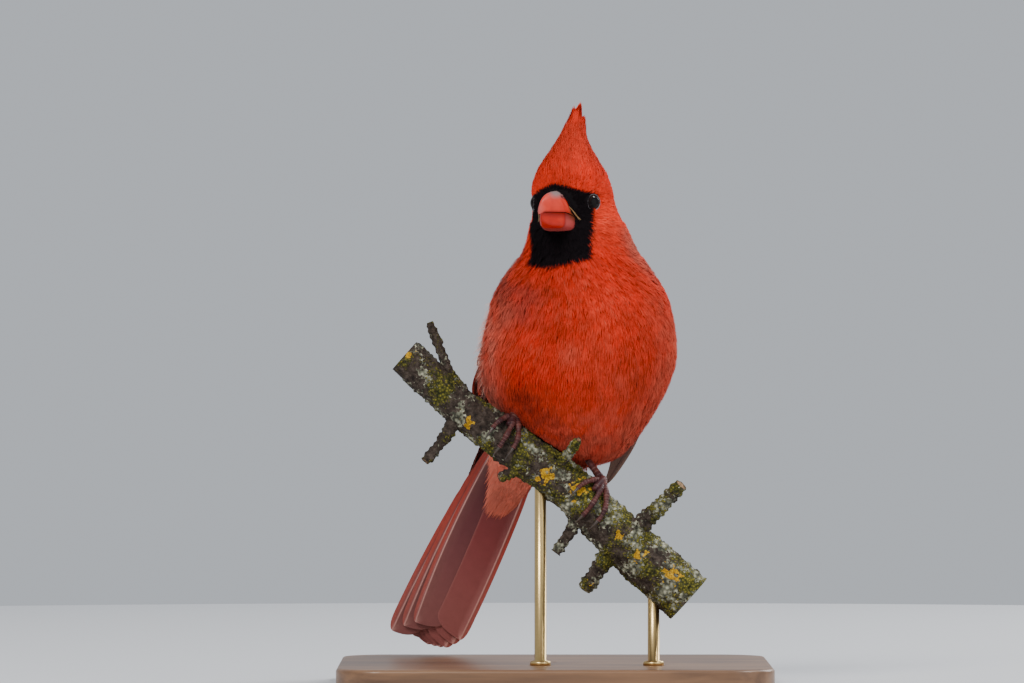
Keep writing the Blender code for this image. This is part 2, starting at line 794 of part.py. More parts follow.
def foot_pieces(which, extra, finish, parent):
    """The knuckle, the stub of the shank and four toes, all this much fatter."""
    across = FEET[which]["across"]
    knuckle, up_leg, _ = leg_line(which)
    size = TARSUS_RADIUS * 1.15 + extra
    toes = [
        ball("toe", knuckle, KNUCKLE_RADIUS + extra, finish, parent, 6, 10),
        tube("toe", [knuckle, knuckle + up_leg * (ANKLE + extra)], [size] * 2, 10, finish, parent),
    ]
    for spread, turn in FEET[which]["toes"]:
        path, radii = [], []
        for k in range(TOE_STEPS + 1):
            share = k / TOE_STEPS
            place = across + spread * math.sin(share * math.pi / 2)
            joint = 1.0 + TOE_SWELL * math.cos(share * TOE_JOINTS * 2 * math.pi)
            size = TOE_RADIUS * (1.12 - TOE_TAPER * share) * joint
            degrees = KNUCKLE_TURN + (turn - KNUCKLE_TURN) * share
            path.append(round_branch(place, degrees, size + 0.05 + 0.7 * max(0.0, 1 - 3 * share)))
            radii.append(size + extra)
        toes.append(tube("toe", path, radii, 8, finish, parent))
    return toes


def claw(name, which, spread, turn, finish, parent):
    path, radii = [], []
    for k in range(5):
        share = k / 4
        degrees = turn + math.copysign(2.5 + CLAW_TURN * share, turn)
        place = FEET[which]["across"] + spread
        path.append(round_branch(place, degrees, CLAW_RISE + CLAW_ARCH * math.sin(share * math.pi)))
        radii.append(CLAW_RADIUS * (1 - 0.85 * share))
    tube(name, path, radii, 7, finish, parent, pointed=True)


def leg(which, skin, horn, parent):
    """The foot, its claws, and the shank up to the heel, which lies inside the belly's feathers."""
    toes = foot_pieces(which, 0.0, skin, parent)
    boolean(toes[0], toes[1:], "UNION").name = f"foot_{which}"
    for number, (spread, turn) in enumerate(FEET[which]["toes"], 1):
        claw(f"claw_{which}_{number}", which, spread, turn, horn, parent)
    knuckle, way, length = leg_line(which)
    start = knuckle + way * (ANKLE + GAP)
    shares = (0.0, 0.15, 0.5, 0.85, 1.0)
    radii = [TARSUS_RADIUS * r for r in (1.1, 0.95, 0.9, 1.05, 1.3)]
    tube(f"shank_{which}", [start + way * length * s for s in shares], radii, 10, skin, parent)


def leg_rooms(which, finish, parent):
    """The space that a foot and a shank take in the feathers round them."""
    knuckle, way, length = leg_line(which)
    radius = TARSUS_RADIUS * 1.3 + GAP
    end = knuckle + way * (ANKLE + GAP * 2 + length)
    shank = tube("room", [knuckle, end], [radius] * 2, 12, finish, parent)
    return [shank] + foot_pieces(which, GAP, finish, parent)


def rounded_slab(name, length, depth, height, corner, finish, parent):
    outline = []
    for sx, sy, first in ((1, 1, 0), (-1, 1, 90), (-1, -1, 180), (1, -1, 270)):
        for k in range(7):
            angle = math.radians(first + 15 * k)
            outline.append(
                (
                    sx * (length / 2 - corner) + corner * math.cos(angle),
                    sy * (depth / 2 - corner) + corner * math.sin(angle),
                )
            )
    edge = 1.2
    rings = []
    for inset, z in ((0.0, 0.0), (0.0, height - edge), (edge, height)):
        rings.append(
            [Vector((x * (1 - 2 * inset / length), y * (1 - 2 * inset / depth), z)) for x, y in outline]
        )
    return mesh_object(name, *loft(rings), finish, parent)


def main():
    for old in list(bpy.data.objects):
        bpy.data.objects.remove(old)
    red = material("red feathers", (0.62, 0.06, 0.02), 0.75)
    dusky = material("dusky red flight feathers", (0.35, 0.06, 0.05), 0.6)
    coral = material("coral bill", (0.75, 0.2, 0.13), 0.35)
    dark = material("dark brown eye", (0.02, 0.01, 0.01), 0.05)
    brown = material("brown legs", (0.16, 0.06, 0.05), 0.5)
    horn = material("dark horn", (0.06, 0.04, 0.035), 0.4)
    bark = material("bark", (0.09, 0.07, 0.05), 0.9)
    wood = material("oiled wood", (0.3, 0.16, 0.07), 0.45)
    brass = material("brass", (0.7, 0.5, 0.2), 0.3, 1.0)

    bird = bpy.data.objects.new("bird", None)
    bpy.context.scene.collection.objects.link(bird)
    bird.location.y = BIRD_SETBACK * MM
    bpy.context.view_layer.update()

    perch(bark, bird)
    torso = body_piece("torso", TORSO_BOTTOM, NECK_HEIGHT - GAP / 2, 16, red, bird)
    body_piece("neck", NECK_HEIGHT + GAP / 2, HEAD_HEIGHT - GAP / 2, 5, red, bird)
    head(red, bird)
    crest(red, bird)
    eyes(dark, bird)
    bill_half("bill_upper", "upper", coral, bird)
    bill_half("bill_lower", "lower", coral, bird)
    tail_made = tail(dusky, bird)
    for which in ("left", "right"):
        wing(which, dusky, bird)

    rooms = [wing_room(which, red, bird) for which in ("left", "right")]
    rooms.append(branch_shape("room", GAP + 0.2, 16, 20, bark, bird))
    for which in ("left", "right"):
        leg(which, brown, horn, bird)
        rooms += leg_rooms(which, red, bird)
    boolean(torso, rooms, "DIFFERENCE")
    torso_room = body_piece("room", TORSO_BOTTOM - GAP, NECK_HEIGHT, 18, red, bird, extra=GAP)
    boolean(tail_made, [torso_room] + [wing_room(w, red, bird) for w in ("left", "right")], "DIFFERENCE")

    rounded_slab("stand_base", BASE_LENGTH, BASE_DEPTH, BASE_HEIGHT, BASE_CORNER, wood, None)
    for number, across in enumerate(ROD_PLACES, 1):
        foot_of_rod = Vector((across, 0.0, BASE_HEIGHT + GAP))
        top = branch_at(across)[0]
        rod = tube(f"stand_rod_{number}", [foot_of_rod, top], [ROD_RADIUS] * 2, 16, brass, bird)
        room = branch_shape("room", GAP, 16, 20, bark, bird)
        boolean(rod, [room], "DIFFERENCE")
    for made in bpy.data.objects:
        if made.type == "MESH":
            made.data.shade_smooth()
            made.data.set_sharp_from_angle(angle=math.radians(40.0))


main()
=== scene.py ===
import math

import bpy
import numpy as np
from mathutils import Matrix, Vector, noise


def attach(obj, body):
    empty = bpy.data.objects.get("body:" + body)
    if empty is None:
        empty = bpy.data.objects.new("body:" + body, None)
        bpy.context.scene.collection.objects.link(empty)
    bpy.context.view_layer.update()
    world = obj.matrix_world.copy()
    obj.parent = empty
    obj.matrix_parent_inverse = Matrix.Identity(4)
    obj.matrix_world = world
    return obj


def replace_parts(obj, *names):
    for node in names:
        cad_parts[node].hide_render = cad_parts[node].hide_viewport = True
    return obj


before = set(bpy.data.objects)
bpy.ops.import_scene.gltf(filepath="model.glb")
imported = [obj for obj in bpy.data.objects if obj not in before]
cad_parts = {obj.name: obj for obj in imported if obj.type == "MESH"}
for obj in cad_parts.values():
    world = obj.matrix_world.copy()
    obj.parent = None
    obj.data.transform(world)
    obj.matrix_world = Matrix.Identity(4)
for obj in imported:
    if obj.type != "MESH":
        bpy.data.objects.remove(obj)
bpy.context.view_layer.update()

MILLIMETRE = 0.001
SETBACK = np.array([0.0, -25.0, 0.0])
UP = np.array([0.0, 0.0, 1.0])
FRONT = np.array([0.0, -1.0, 0.0])
ASKEW = np.array([0.31, 0.77, 0.2])
rng = np.random.default_rng(5)
# Between the body's front and back halves: the cosine of the angle where one has passed into the other
FRONT_BLEND = 0.25

# Body slices: height, middle x and y, half width, reach forwards, reach back, turn; millimetres and degrees
BODY = np.array([
    (77.0, 9.4, 13.0, 5.0, 5.0, 5.0, 0.0), (78.5, 9.0, 13.2, 10.5, 9.5, 10.0, 0.0),
    (81.0, 8.4, 14.0, 15.5, 15.0, 15.0, 0.0), (86.0, 7.5, 14.8, 20.8, 21.0, 21.3, 0.0),
    (91.0, 7.2, 14.8, 25.0, 25.8, 25.8, 0.0), (97.0, 7.0, 13.8, 28.9, 29.2, 29.2, 0.0),
    (104.0, 7.2, 12.3, 32.2, 31.7, 31.7, 0.0), (112.0, 8.0, 10.3, 34.0, 32.8, 32.8, 0.0),
    (120.0, 8.5, 7.8, 33.6, 32.2, 32.2, 0.0), (128.0, 8.8, 5.1, 32.0, 30.4, 30.4, 0.0),
    (135.0, 8.7, 2.8, 30.1, 27.7, 27.7, 2.0), (141.0, 8.6, 0.5, 26.7, 24.5, 24.5, 6.0),
    (146.0, 8.7, -1.4, 23.0, 21.3, 21.3, 10.0), (150.0, 8.7, -3.0, 20.4, 18.6, 18.6, 14.0),
    (154.0, 8.4, -4.6, 18.5, 16.6, 17.0, 19.0), (158.0, 7.9, -6.0, 17.0, 15.1, 16.0, 23.0),
    (162.0, 7.2, -7.2, 15.5, 13.6, 15.4, 25.0), (167.0, 6.2, -8.0, 14.2, 12.8, 15.2, 25.0),
    (172.0, 5.5, -7.9, 13.9, 12.2, 15.2, 25.0), (176.5, 5.3, -7.0, 12.6, 11.0, 14.0, 25.0),
    (181.5, 5.2, -5.0, 9.6, 8.9, 11.6, 25.0), (187.0, 5.6, -2.9, 6.2, 6.3, 8.2, 25.0),
    (192.0, 6.3, -1.6, 3.8, 4.2, 5.4, 25.0), (197.0, 7.2, -0.6, 2.2, 2.6, 3.2, 25.0),
    (201.0, 7.9, 0.0, 0.9, 1.0, 1.2, 25.0),
])
TURN = math.radians(25.0)
HEAD = np.array([5.9, -8.0, 166.6])
AHEAD = np.array([-math.sin(TURN), -math.cos(TURN), 0.0])
LEFT = np.array([math.cos(TURN), -math.sin(TURN), 0.0])
BRANCH = np.array([
    (-52.0, 114.6, 6.4), (-41.0, 104.9, 6.6), (-29.3, 94.2, 6.9), (-13.8, 83.2, 7.2),
    (1.7, 71.8, 7.6), (15.5, 59.1, 8.1), (29.3, 45.9, 8.7), (46.0, 30.9, 9.2),
])


def hermite(rows, at):
    """Rows of a table at each first value, on a smooth curve through them."""
    at = np.atleast_1d(np.asarray(at, float))
    x, y = rows[:, 0], rows[:, 1:]
    slope = np.empty_like(y)
    slope[1:-1] = (y[2:] - y[:-2]) / (x[2:] - x[:-2])[:, None]
    slope[0] = (y[1] - y[0]) / (x[1] - x[0])
    slope[-1] = (y[-1] - y[-2]) / (x[-1] - x[-2])
    k = np.clip(np.searchsorted(x, at, side="right") - 1, 0, len(x) - 2)
    span = (x[k + 1] - x[k])[:, None]
    t = ((at - x[k]) / (x[k + 1] - x[k]))[:, None]
    return (
        (2 * t**3 - 3 * t**2 + 1) * y[k] + (t**3 - 2 * t**2 + t) * span * slope[k]
        + (3 * t**2 - 2 * t**3) * y[k + 1] + (t**3 - t**2) * span * slope[k + 1]
    )


def unit(v):
    """The same directions, with a length of 1."""
    return v / np.maximum(np.linalg.norm(v, axis=-1, keepdims=True), 1e-9)


def smooth(low, high, x):
    """A smooth step from 0 at low to 1 at high, whichever of them is larger."""
    t = np.clip((x - low) / (high - low), 0.0, 1.0)
    return t * t * (3 - 2 * t)


def mix(a, b, share):
    """What lies at that share of the way from a to b."""
    return a + (b - a) * share


def run_along(line):
    """How far along a line of points each of them lies."""
    return np.concatenate([[0.0], np.cumsum(np.linalg.norm(np.diff(line, axis=0), axis=1))])


def wrapped(a):
    """The same angles from -pi to pi."""
    return np.arctan2(np.sin(a), np.cos(a))


def body_slices(h):
    """Middle x and y, half width, reach forwards, reach back and turn of the body at these heights."""
    found = hermite(BODY, np.clip(h, BODY[0, 0], BODY[-1, 0])).T
    return *found[:-1], np.radians(found[-1])


def body(h, a):
    """Points on the outside of the plumage, a being 0 in front and positive to the bird's left."""
    x, y, half, front, back, turn = body_slices(h)
    reach = mix(back, front, smooth(-FRONT_BLEND, FRONT_BLEND, np.cos(a)))
    across, along = half * np.sin(a), reach * np.cos(a)
    return np.stack([
        x - np.sin(turn) * along + np.cos(turn) * across,
        y - np.cos(turn) * along - np.sin(turn) * across,
        np.broadcast_to(h, x.shape),
    ], -1)


def body_frame(surface, h, a):
    """Point, outward normal, unit directions of growing h and a, and how long a step of each is."""
    eps_h, eps_a = 0.2, 0.01
    p = surface(h, a)
    dh = (surface(h + eps_h, a) - surface(h - eps_h, a)) / (2 * eps_h)
    da = (surface(h, a + eps_a) - surface(h, a - eps_a)) / (2 * eps_a)
    size_h = np.linalg.norm(dh, axis=-1)
    size_a = np.linalg.norm(da, axis=-1)
    normal = unit(np.cross(da, dh))
    return p, normal, dh / size_h[:, None], da / size_a[:, None], size_h, size_a


def put(name, data):
    """A new object of this data, linked into the scene."""
    made = bpy.data.objects.new(name, data)
    bpy.context.scene.collection.objects.link(made)
    return made


def new_object(name, points, faces, material, colours=None, uv=None, soft=True):
    """A mesh in millimetres of the bird's own frame, all faces with as many corners."""
    points = (np.reshape(points, (-1, 3)) + SETBACK) * MILLIMETRE
    faces = np.asarray(faces, np.int32)
    mesh = bpy.data.meshes.new(name)
    mesh.vertices.add(len(points))
    mesh.vertices.foreach_set("co", points.astype(np.float32).ravel())
    mesh.loops.add(faces.size)
    mesh.loops.foreach_set("vertex_index", faces.ravel())
    mesh.polygons.add(len(faces))
    mesh.polygons.foreach_set("loop_start", np.arange(len(faces), dtype=np.int32) * faces.shape[1])
    mesh.update(calc_edges=True)
    mesh.validate()
    mesh.polygons.foreach_set("use_smooth", np.full(len(mesh.polygons), soft))
    if colours is not None:
        add_paint(mesh, "Paint", colours)
    if uv is not None:
        add_uv(mesh, "OFBake", uv)
    mesh.materials.append(material)
    made = put(name, mesh)
    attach(made, "root")
    return made


def add_paint(mesh, name, colours):
    """A layer with a colour for each point."""
    full = np.ones((len(mesh.vertices), 4), np.float32)
    full[:, :3] = np.clip(np.reshape(colours, (-1, 3)), 0.0, 1.0)
    mesh.color_attributes.new(name, "FLOAT_COLOR", "POINT").data.foreach_set("color", full.ravel())


def add_uv(mesh, name, uv):
    """A layer with a place on a flat map for each point."""
    corners = np.empty(len(mesh.loops), np.int32)
    mesh.loops.foreach_get("vertex_index", corners)
    flat = np.asarray(uv, np.float32).reshape(-1, 2)[corners]
    mesh.uv_layers.new(name=name).data.foreach_set("uv", flat.ravel())


def grid_faces(rows, columns, closed=False, start=0):
    """Four-cornered faces over rows of points, the last column joined to the first where closed."""
    r = np.arange(rows - 1)[:, None]
    c = np.arange(columns if closed else columns - 1)[None, :]
    nxt = (c + 1) % columns
    a = r * columns + c
    b = r * columns + nxt
    return start + np.stack([a, b, b + columns, a + columns], -1).reshape(-1, 4)


def bar(path, radii, rows, columns, seed=0.0, knots=0.0):
    """Points and outward directions of a round bar on a smooth line through a path."""
    table = np.column_stack([np.linspace(0, 1, len(path)), path, radii])
    t = np.linspace(0, 1, rows)
    found = hermite(table, t)
    middle, radius = found[:, :3], found[:, 3]
    way = unit(np.gradient(middle, axis=0))
    side = unit(np.cross(way[0], ASKEW))
    rings, outs = [], []
    turn = np.linspace(0, 2 * math.pi, columns, endpoint=False)
    for k in range(rows):
        side = unit(side - way[k] * (side @ way[k]))
        out = np.cos(turn)[:, None] * side + np.sin(turn)[:, None] * np.cross(way[k], side)
        size = radius[k] * (1 + knots * math.sin(t[k] * 23.0 + seed))
        rings.append(middle[k] + out * size)
        outs.append(out)
    return np.stack(rings), np.stack(outs)


def nodes_of(name, roughness=0.6):
    """A new finish, its node tree and its shader."""
    made = bpy.data.materials.new(name)
    made.use_nodes = True
    tree = made.node_tree
    shader = tree.nodes["Principled BSDF"]
    shader.inputs["Roughness"].default_value = roughness
    return made, tree, shader


def feed(tree, socket, value):
    """Joins an input to another node's socket, or sets it to a plain value."""
    if isinstance(value, bpy.types.NodeSocket):
        tree.links.new(value, socket)
    else:
        socket.default_value = value


def add(tree, kind, *inputs, **values):
    """A shader node with its inputs fed by place, or by name with _ for a blank, and its other settings."""
    node = tree.nodes.new("ShaderNode" + kind)
    for key, value in values.items():
        label = key.replace("_", " ")
        if label in node.inputs:
            feed(tree, node.inputs[label], value)
        else:
            setattr(node, key, value)
    for socket, value in zip(node.inputs, inputs):
        feed(tree, socket, value)
    return node


def own_place(tree):
    """Places in the object's own coordinates."""
    return add(tree, "TexCoord").outputs["Object"]


def ramp(tree, source, *stops):
    """Colours over a source from 0 to 1, by stops of place and colour."""
    node = add(tree, "ValToRGB", Fac=source)
    while len(node.color_ramp.elements) < len(stops):
        node.color_ramp.elements.new(0.5)
    for element, (place, colour) in zip(node.color_ramp.elements, stops):
        element.position, element.color = place, (*colour, 1.0)
    return node.outputs["Color"]


def relief(tree, shader, height, strength, depth):
    """Bump of so many metres on a finish."""
    bump = add(tree, "Bump", Height=height, Strength=strength, Distance=depth)
    tree.links.new(bump.outputs["Normal"], shader.inputs["Normal"])


def noise_relief(tree, shader, scale, strength, stretch=(1, 1, 1)):
    """Bump from noise in the object's own coordinates."""
    place = add(tree, "Mapping", Vector=own_place(tree), Scale=stretch)
    noisy = add(tree, "TexNoise", Vector=place.outputs["Vector"], Scale=scale, Detail=4.0)
    relief(tree, shader, noisy.outputs["Fac"], strength, 0.0003)


def mottled(tree, shader, varied, low, high, mottle):
    """The painted colour, made darker and lighter as the varied number goes from low to high."""
    paint = add(tree, "VertexColor", layer_name="Paint")
    factor = add(tree, "MapRange", Value=varied, From_Min=low, From_Max=high, To_Min=1.0 - mottle,
                 To_Max=1.0 + mottle).outputs["Result"]
    scaled = add(tree, "VectorMath", paint.outputs["Color"], operation="SCALE", Scale=factor)
    tree.links.new(scaled.outputs["Vector"], shader.inputs["Base Color"])


def painted(name, roughness, mottle_scale, mottle, gloss=0.5, bump=0.0, bump_scale=900.0):
    """A finish that takes the painted colour, made lighter and darker by noise."""
    made, tree, shader = nodes_of(name, roughness)
    noisy = add(tree, "TexNoise", Vector=own_place(tree), Scale=mottle_scale, Detail=5.0)
    mottled(tree, shader, noisy.outputs["Fac"], 0.3, 0.7, mottle)
    shader.inputs["Specular IOR Level"].default_value = gloss
    if bump:
        noise_relief(tree, shader, bump_scale, bump)
    return made


# Branch as a line, to keep the plumage out of it
LINE_X = np.linspace(BRANCH[0, 0], BRANCH[-1, 0], 240)
LINE = hermite(BRANCH, LINE_X)
LINE_POINTS = np.stack([LINE_X, np.zeros_like(LINE_X), LINE[:, 0]], -1)
BRANCH_TOP, BRANCH_REACH = 125.0, 14.0


def clear_branch(points, gap=0.5):
    """The points, moved out of the branch where they lie in it."""
    points = points.copy()
    near = (points[:, 2] < BRANCH_TOP) & (np.abs(points[:, 1]) < BRANCH_REACH)
    some = points[near]
    if len(some):
        gaps = ((some[:, None, ::2] - LINE_POINTS[None, :, ::2]) ** 2).sum(-1)
        k = gaps.argmin(1)
        away = some - LINE_POINTS[k]
        size = np.linalg.norm(away, axis=1)
        reach = LINE[k, 1] * 1.03 + gap
        inside = size < reach
        some[inside] = (LINE_POINTS[k] + away * (reach / np.maximum(size, 0.1))[:, None])[inside]
        points[near] = some
    return points


# Plumage: how deep the coat lies at each height
DEPTHS = np.array([(77.0, 1.3), (90.0, 1.6), (120.0, 1.6), (140.0, 1.4), (152.0, 1.1), (160.0, 0.8),
                   (168.0, 0.6), (180.0, 0.8), (190.0, 0.9), (201.0, 0.4)])
# The black mask: height, and its right and left limits in degrees
MASK = np.array([(144.4, -24.0, -16.0), (145.3, -42.0, -8.0), (146.1, -43.0, 6.0), (147.8, -43.5, 20.5),
                 (150.0, -45.0, 24.0), (152.0, -47.0, 26.6), (155.0, -52.0, 32.0), (157.0, -58.0, 36.5),
                 (160.3, -63.0, 43.4), (164.1, -63.0, 49.0), (166.0, -62.0, 54.0), (168.0, -60.0, 62.0),
                 (169.5, -56.0, 65.5), (170.4, -44.0, 63.0), (170.8, -38.0, 46.0), (171.6, -30.3, 31.6),
                 (172.8, -17.0, 15.5), (173.4, -10.0, 8.0), (173.8, 0.0, 1.0)])
RED = np.array([0.640, 0.020, 0.004])
VIVID = np.array([0.660, 0.013, 0.001])
# Bright red of the face, also used for painted highlights on the breast
BRIGHT = np.array([0.820, 0.040, 0.012])
PALER = np.array([0.620, 0.100, 0.055])
DEEP = np.array([0.300, 0.009, 0.002])
CRESTED = np.array([0.540, 0.032, 0.013])
# Dark red of the painted shadows on the lower belly
PAINTED_SHADOW = np.array([0.200, 0.009, 0.004])
ROSE = np.array([0.420, 0.105, 0.072])
GREYISH = np.array([0.190, 0.078, 0.064])
FLANK = np.array([0.600, 0.200, 0.145])
BLACK = np.array([0.006, 0.004, 0.005])
# Patches of the breast and belly: across, height, how far they spread, tone and strength; the dark ones are
# painted shadow, the bright ones painted highlight
PATCHES = ((-12.0, 102.5, 8.5, PAINTED_SHADOW, 0.60), (-6.0, 94.0, 8.0, PAINTED_SHADOW, 0.50),
           (16.6, 129.0, 8.0, BRIGHT, 0.60), (9.5, 114.5, 6.0, BRIGHT, 0.40),
           (5.4, 119.0, 4.5, PALER, 0.45), (-10.5, 136.0, 7.5, GREYISH, 0.42),
           (24.0, 110.0, 8.0, PALER, 0.35), (19.0, 95.0, 8.0, PALER, 0.35),
           (-20.0, 127.0, 6.0, PALER, 0.30), (-18.8, 133.0, 5.0, ROSE, 0.60))


def cloud(points, size, shift=0.0):
    """Smooth noise from about -1 to 1 at each point."""
    q = points / size + shift
    return np.array([noise.noise(Vector(v)) for v in q]) * 1.6


def depth_at(h):
    """How deep the coat lies at these heights."""
    return np.interp(h, DEPTHS[:, 0], DEPTHS[:, 1])


def mask_share(h, a, ragged=0.0):
    """1 inside the black mask and 0 outside it, with its border moved by the millimetres given."""
    turn = wrapped(a)
    at = h + ragged
    right, left = (np.radians(np.interp(at, MASK[:, 0], limit)) for limit in (MASK[:, 1], MASK[:, 2]))
    room = np.minimum(left - turn, turn - right) + ragged / 16.0
    return smooth(-0.02, 0.02, room) * ((at > MASK[0, 0]) & (at < MASK[-1, 0]))


def washed(colour, share):
    """The colour as it pales towards the rim of a feather, as bright as before."""
    ratio = colour.sum(-1, keepdims=True) / PALER.sum()
    return mix(colour, PALER * ratio, share)


def coat_colour(h, a, points):
    """The markings, alike for skin and coat."""
    turn = wrapped(a)
    around = np.abs(turn)
    fine = cloud(points, 4.0, 7.3)
    colour = mix(RED, VIVID, (0.5 + 0.8 * cloud(points, 13.0)).clip(0, 1)[:, None])
    colour = mix(colour, DEEP, (0.10 + 0.24 * cloud(points, 7.0, 3.1) + 0.13 * fine).clip(0, 0.5)[:, None])

    def lay(tone, share, steady=1.0, uneven=0.0, most=1.0):
        return mix(colour, tone, (share * (steady + uneven * fine)).clip(0, most)[:, None])

    low = smooth(112.0, 84.0, h) * 0.45 + smooth(0.55, 1.15, around) * smooth(146.0, 130.0, h) * 0.5
    colour = lay(PALER, low, 0.8, 0.5, 0.85)
    # Darker towards the vent: partly the plumage's own deeper red, partly painted shade under the belly
    colour = lay(DEEP, smooth(94.0, 80.0, h) * 0.35)
    front = smooth(1.5, 1.1, around)
    # Painted shadows and highlights on the breast and belly, among patches of the plumage's own tints
    for x, z, size, tone, strength in PATCHES:
        near = np.exp(-((points[:, 0] - x) ** 2 + (points[:, 2] - z) ** 2) / size**2)
        colour = lay(tone, near * front * strength, 1.0, 0.4)
    worn = smooth(-0.80, -1.35, turn) * smooth(138.0, 124.0, h) * smooth(-2.4, -1.9, turn) * 0.75
    colour = lay(FLANK, worn, 0.8, 0.5, 0.9)
    colour = lay(ROSE, smooth(96.0, 84.0, h) * 0.4, 0.8, 0.5, 0.8)
    paled = smooth(0.60, 1.20, turn) * smooth(132.0, 116.0, h) * smooth(2.2, 1.8, turn) * 0.45
    colour = lay(PALER, paled, 0.8, 0.5, 0.9)
    colour = lay(BRIGHT, smooth(148.0, 160.0, h) * (0.75 - 0.50 * smooth(166.0, 174.0, h)))
    colour = lay(CRESTED * (1 + 0.12 * fine[:, None]), smooth(174.0, 186.0, h) * 0.8)
    colour = lay(GREYISH, smooth(1.55, 2.2, around) * smooth(174.0, 164.0, h), 0.62, 0.25)
    nape = smooth(0.95, 1.35, around) * smooth(138.0, 146.0, h) * smooth(162.0, 156.0, h)
    colour = lay(ROSE, nape, 0.70, 0.4)
    shoulder = smooth(-0.75, -1.15, turn) * smooth(135.0, 140.0, h) * smooth(149.0, 143.0, h)
    return lay(GREYISH, shoulder, 0.35, 0.3)


def flow(h, a):
    """The lie of the plumage: shares along growing height and growing angle."""
    around = wrapped(a)
    side = np.sign(around)
    wide = np.abs(around)
    tilt = np.radians(16.0) * np.sin(wide.clip(0, math.pi)) * smooth(96.0, 126.0, h)
    up = -np.cos(tilt)
    turn = side * np.sin(tilt)
    # On the head the feathers run away from the bill, up on the brow and crest, down on the throat
    rise = (h - 165.0) / 7.0
    out = 15.0 * wide / 10.0
    spread = np.sqrt(rise**2 + out**2) + 1e-6
    from_bill = np.stack([rise / spread, side * out / spread], -1)
    from_bill[:, 0] -= 0.35 * smooth(0.6, 1.6, wide) * smooth(176.0, 168.0, h)
    crest = smooth(173.0, 179.0, h)[:, None]
    from_bill = mix(from_bill, np.stack([np.ones_like(h), 0.10 * side * np.sin(wide)], -1), crest)
    face = (smooth(150.0, 160.0, h) * smooth(2.6, 1.6, wide)).clip(0, 1)
    face = np.maximum(face, smooth(174.0, 179.0, h))[:, None]
    found = mix(np.stack([up, turn], -1), from_bill, face)
    return found / np.maximum(np.linalg.norm(found, axis=1), 1e-6)[:, None]


def scallops(h, a, pitch, row_pitch):
    """How near each root lies to the rim of its contour feather, and a number of that feather's own."""
    near_rim = np.zeros(len(h))
    own = np.zeros(len(h))
    open_yet = np.ones(len(h), bool)
    for k, top in enumerate(np.arange(h.max() + 2 * row_pitch, h.min() - row_pitch, -row_pitch)):
        _, _, half, front, back, _ = (v[0] for v in body_slices(top))
        number = max(5, round(2 * math.pi * (half + half + front + back) / 4 / pitch))
        column = a / (2 * math.pi) * number + 0.5 * (k % 2) + 0.3 * math.sin(k * 2.1)
        middle = np.round(column)
        off = 2 * (column - middle)
        rim = top - 1.45 * row_pitch * np.sqrt(1 - 0.9 * off**2)
        inside = open_yet & (h > rim)
        near_rim[inside] = 1 - ((h - rim) / row_pitch).clip(0, 1)[inside]
        own[inside] = ((np.sin(k * 12.9898 + middle * 78.233) * 43758.5453) % 1.0)[inside]
        open_yet &= ~inside
    return near_rim, own


# A blade: shares of its length and of its width there, its faces, and its size on the bake map
BLADE_LEVELS = ((0.0, 0.8), (0.36, 1.0), (0.74, 0.72), (1.0, 0.0))
BLADE_FACES = ((0, 3, 1), (0, 2, 3), (2, 5, 3), (2, 4, 5), (4, 6, 5))
BLADE_CELL = 0.003


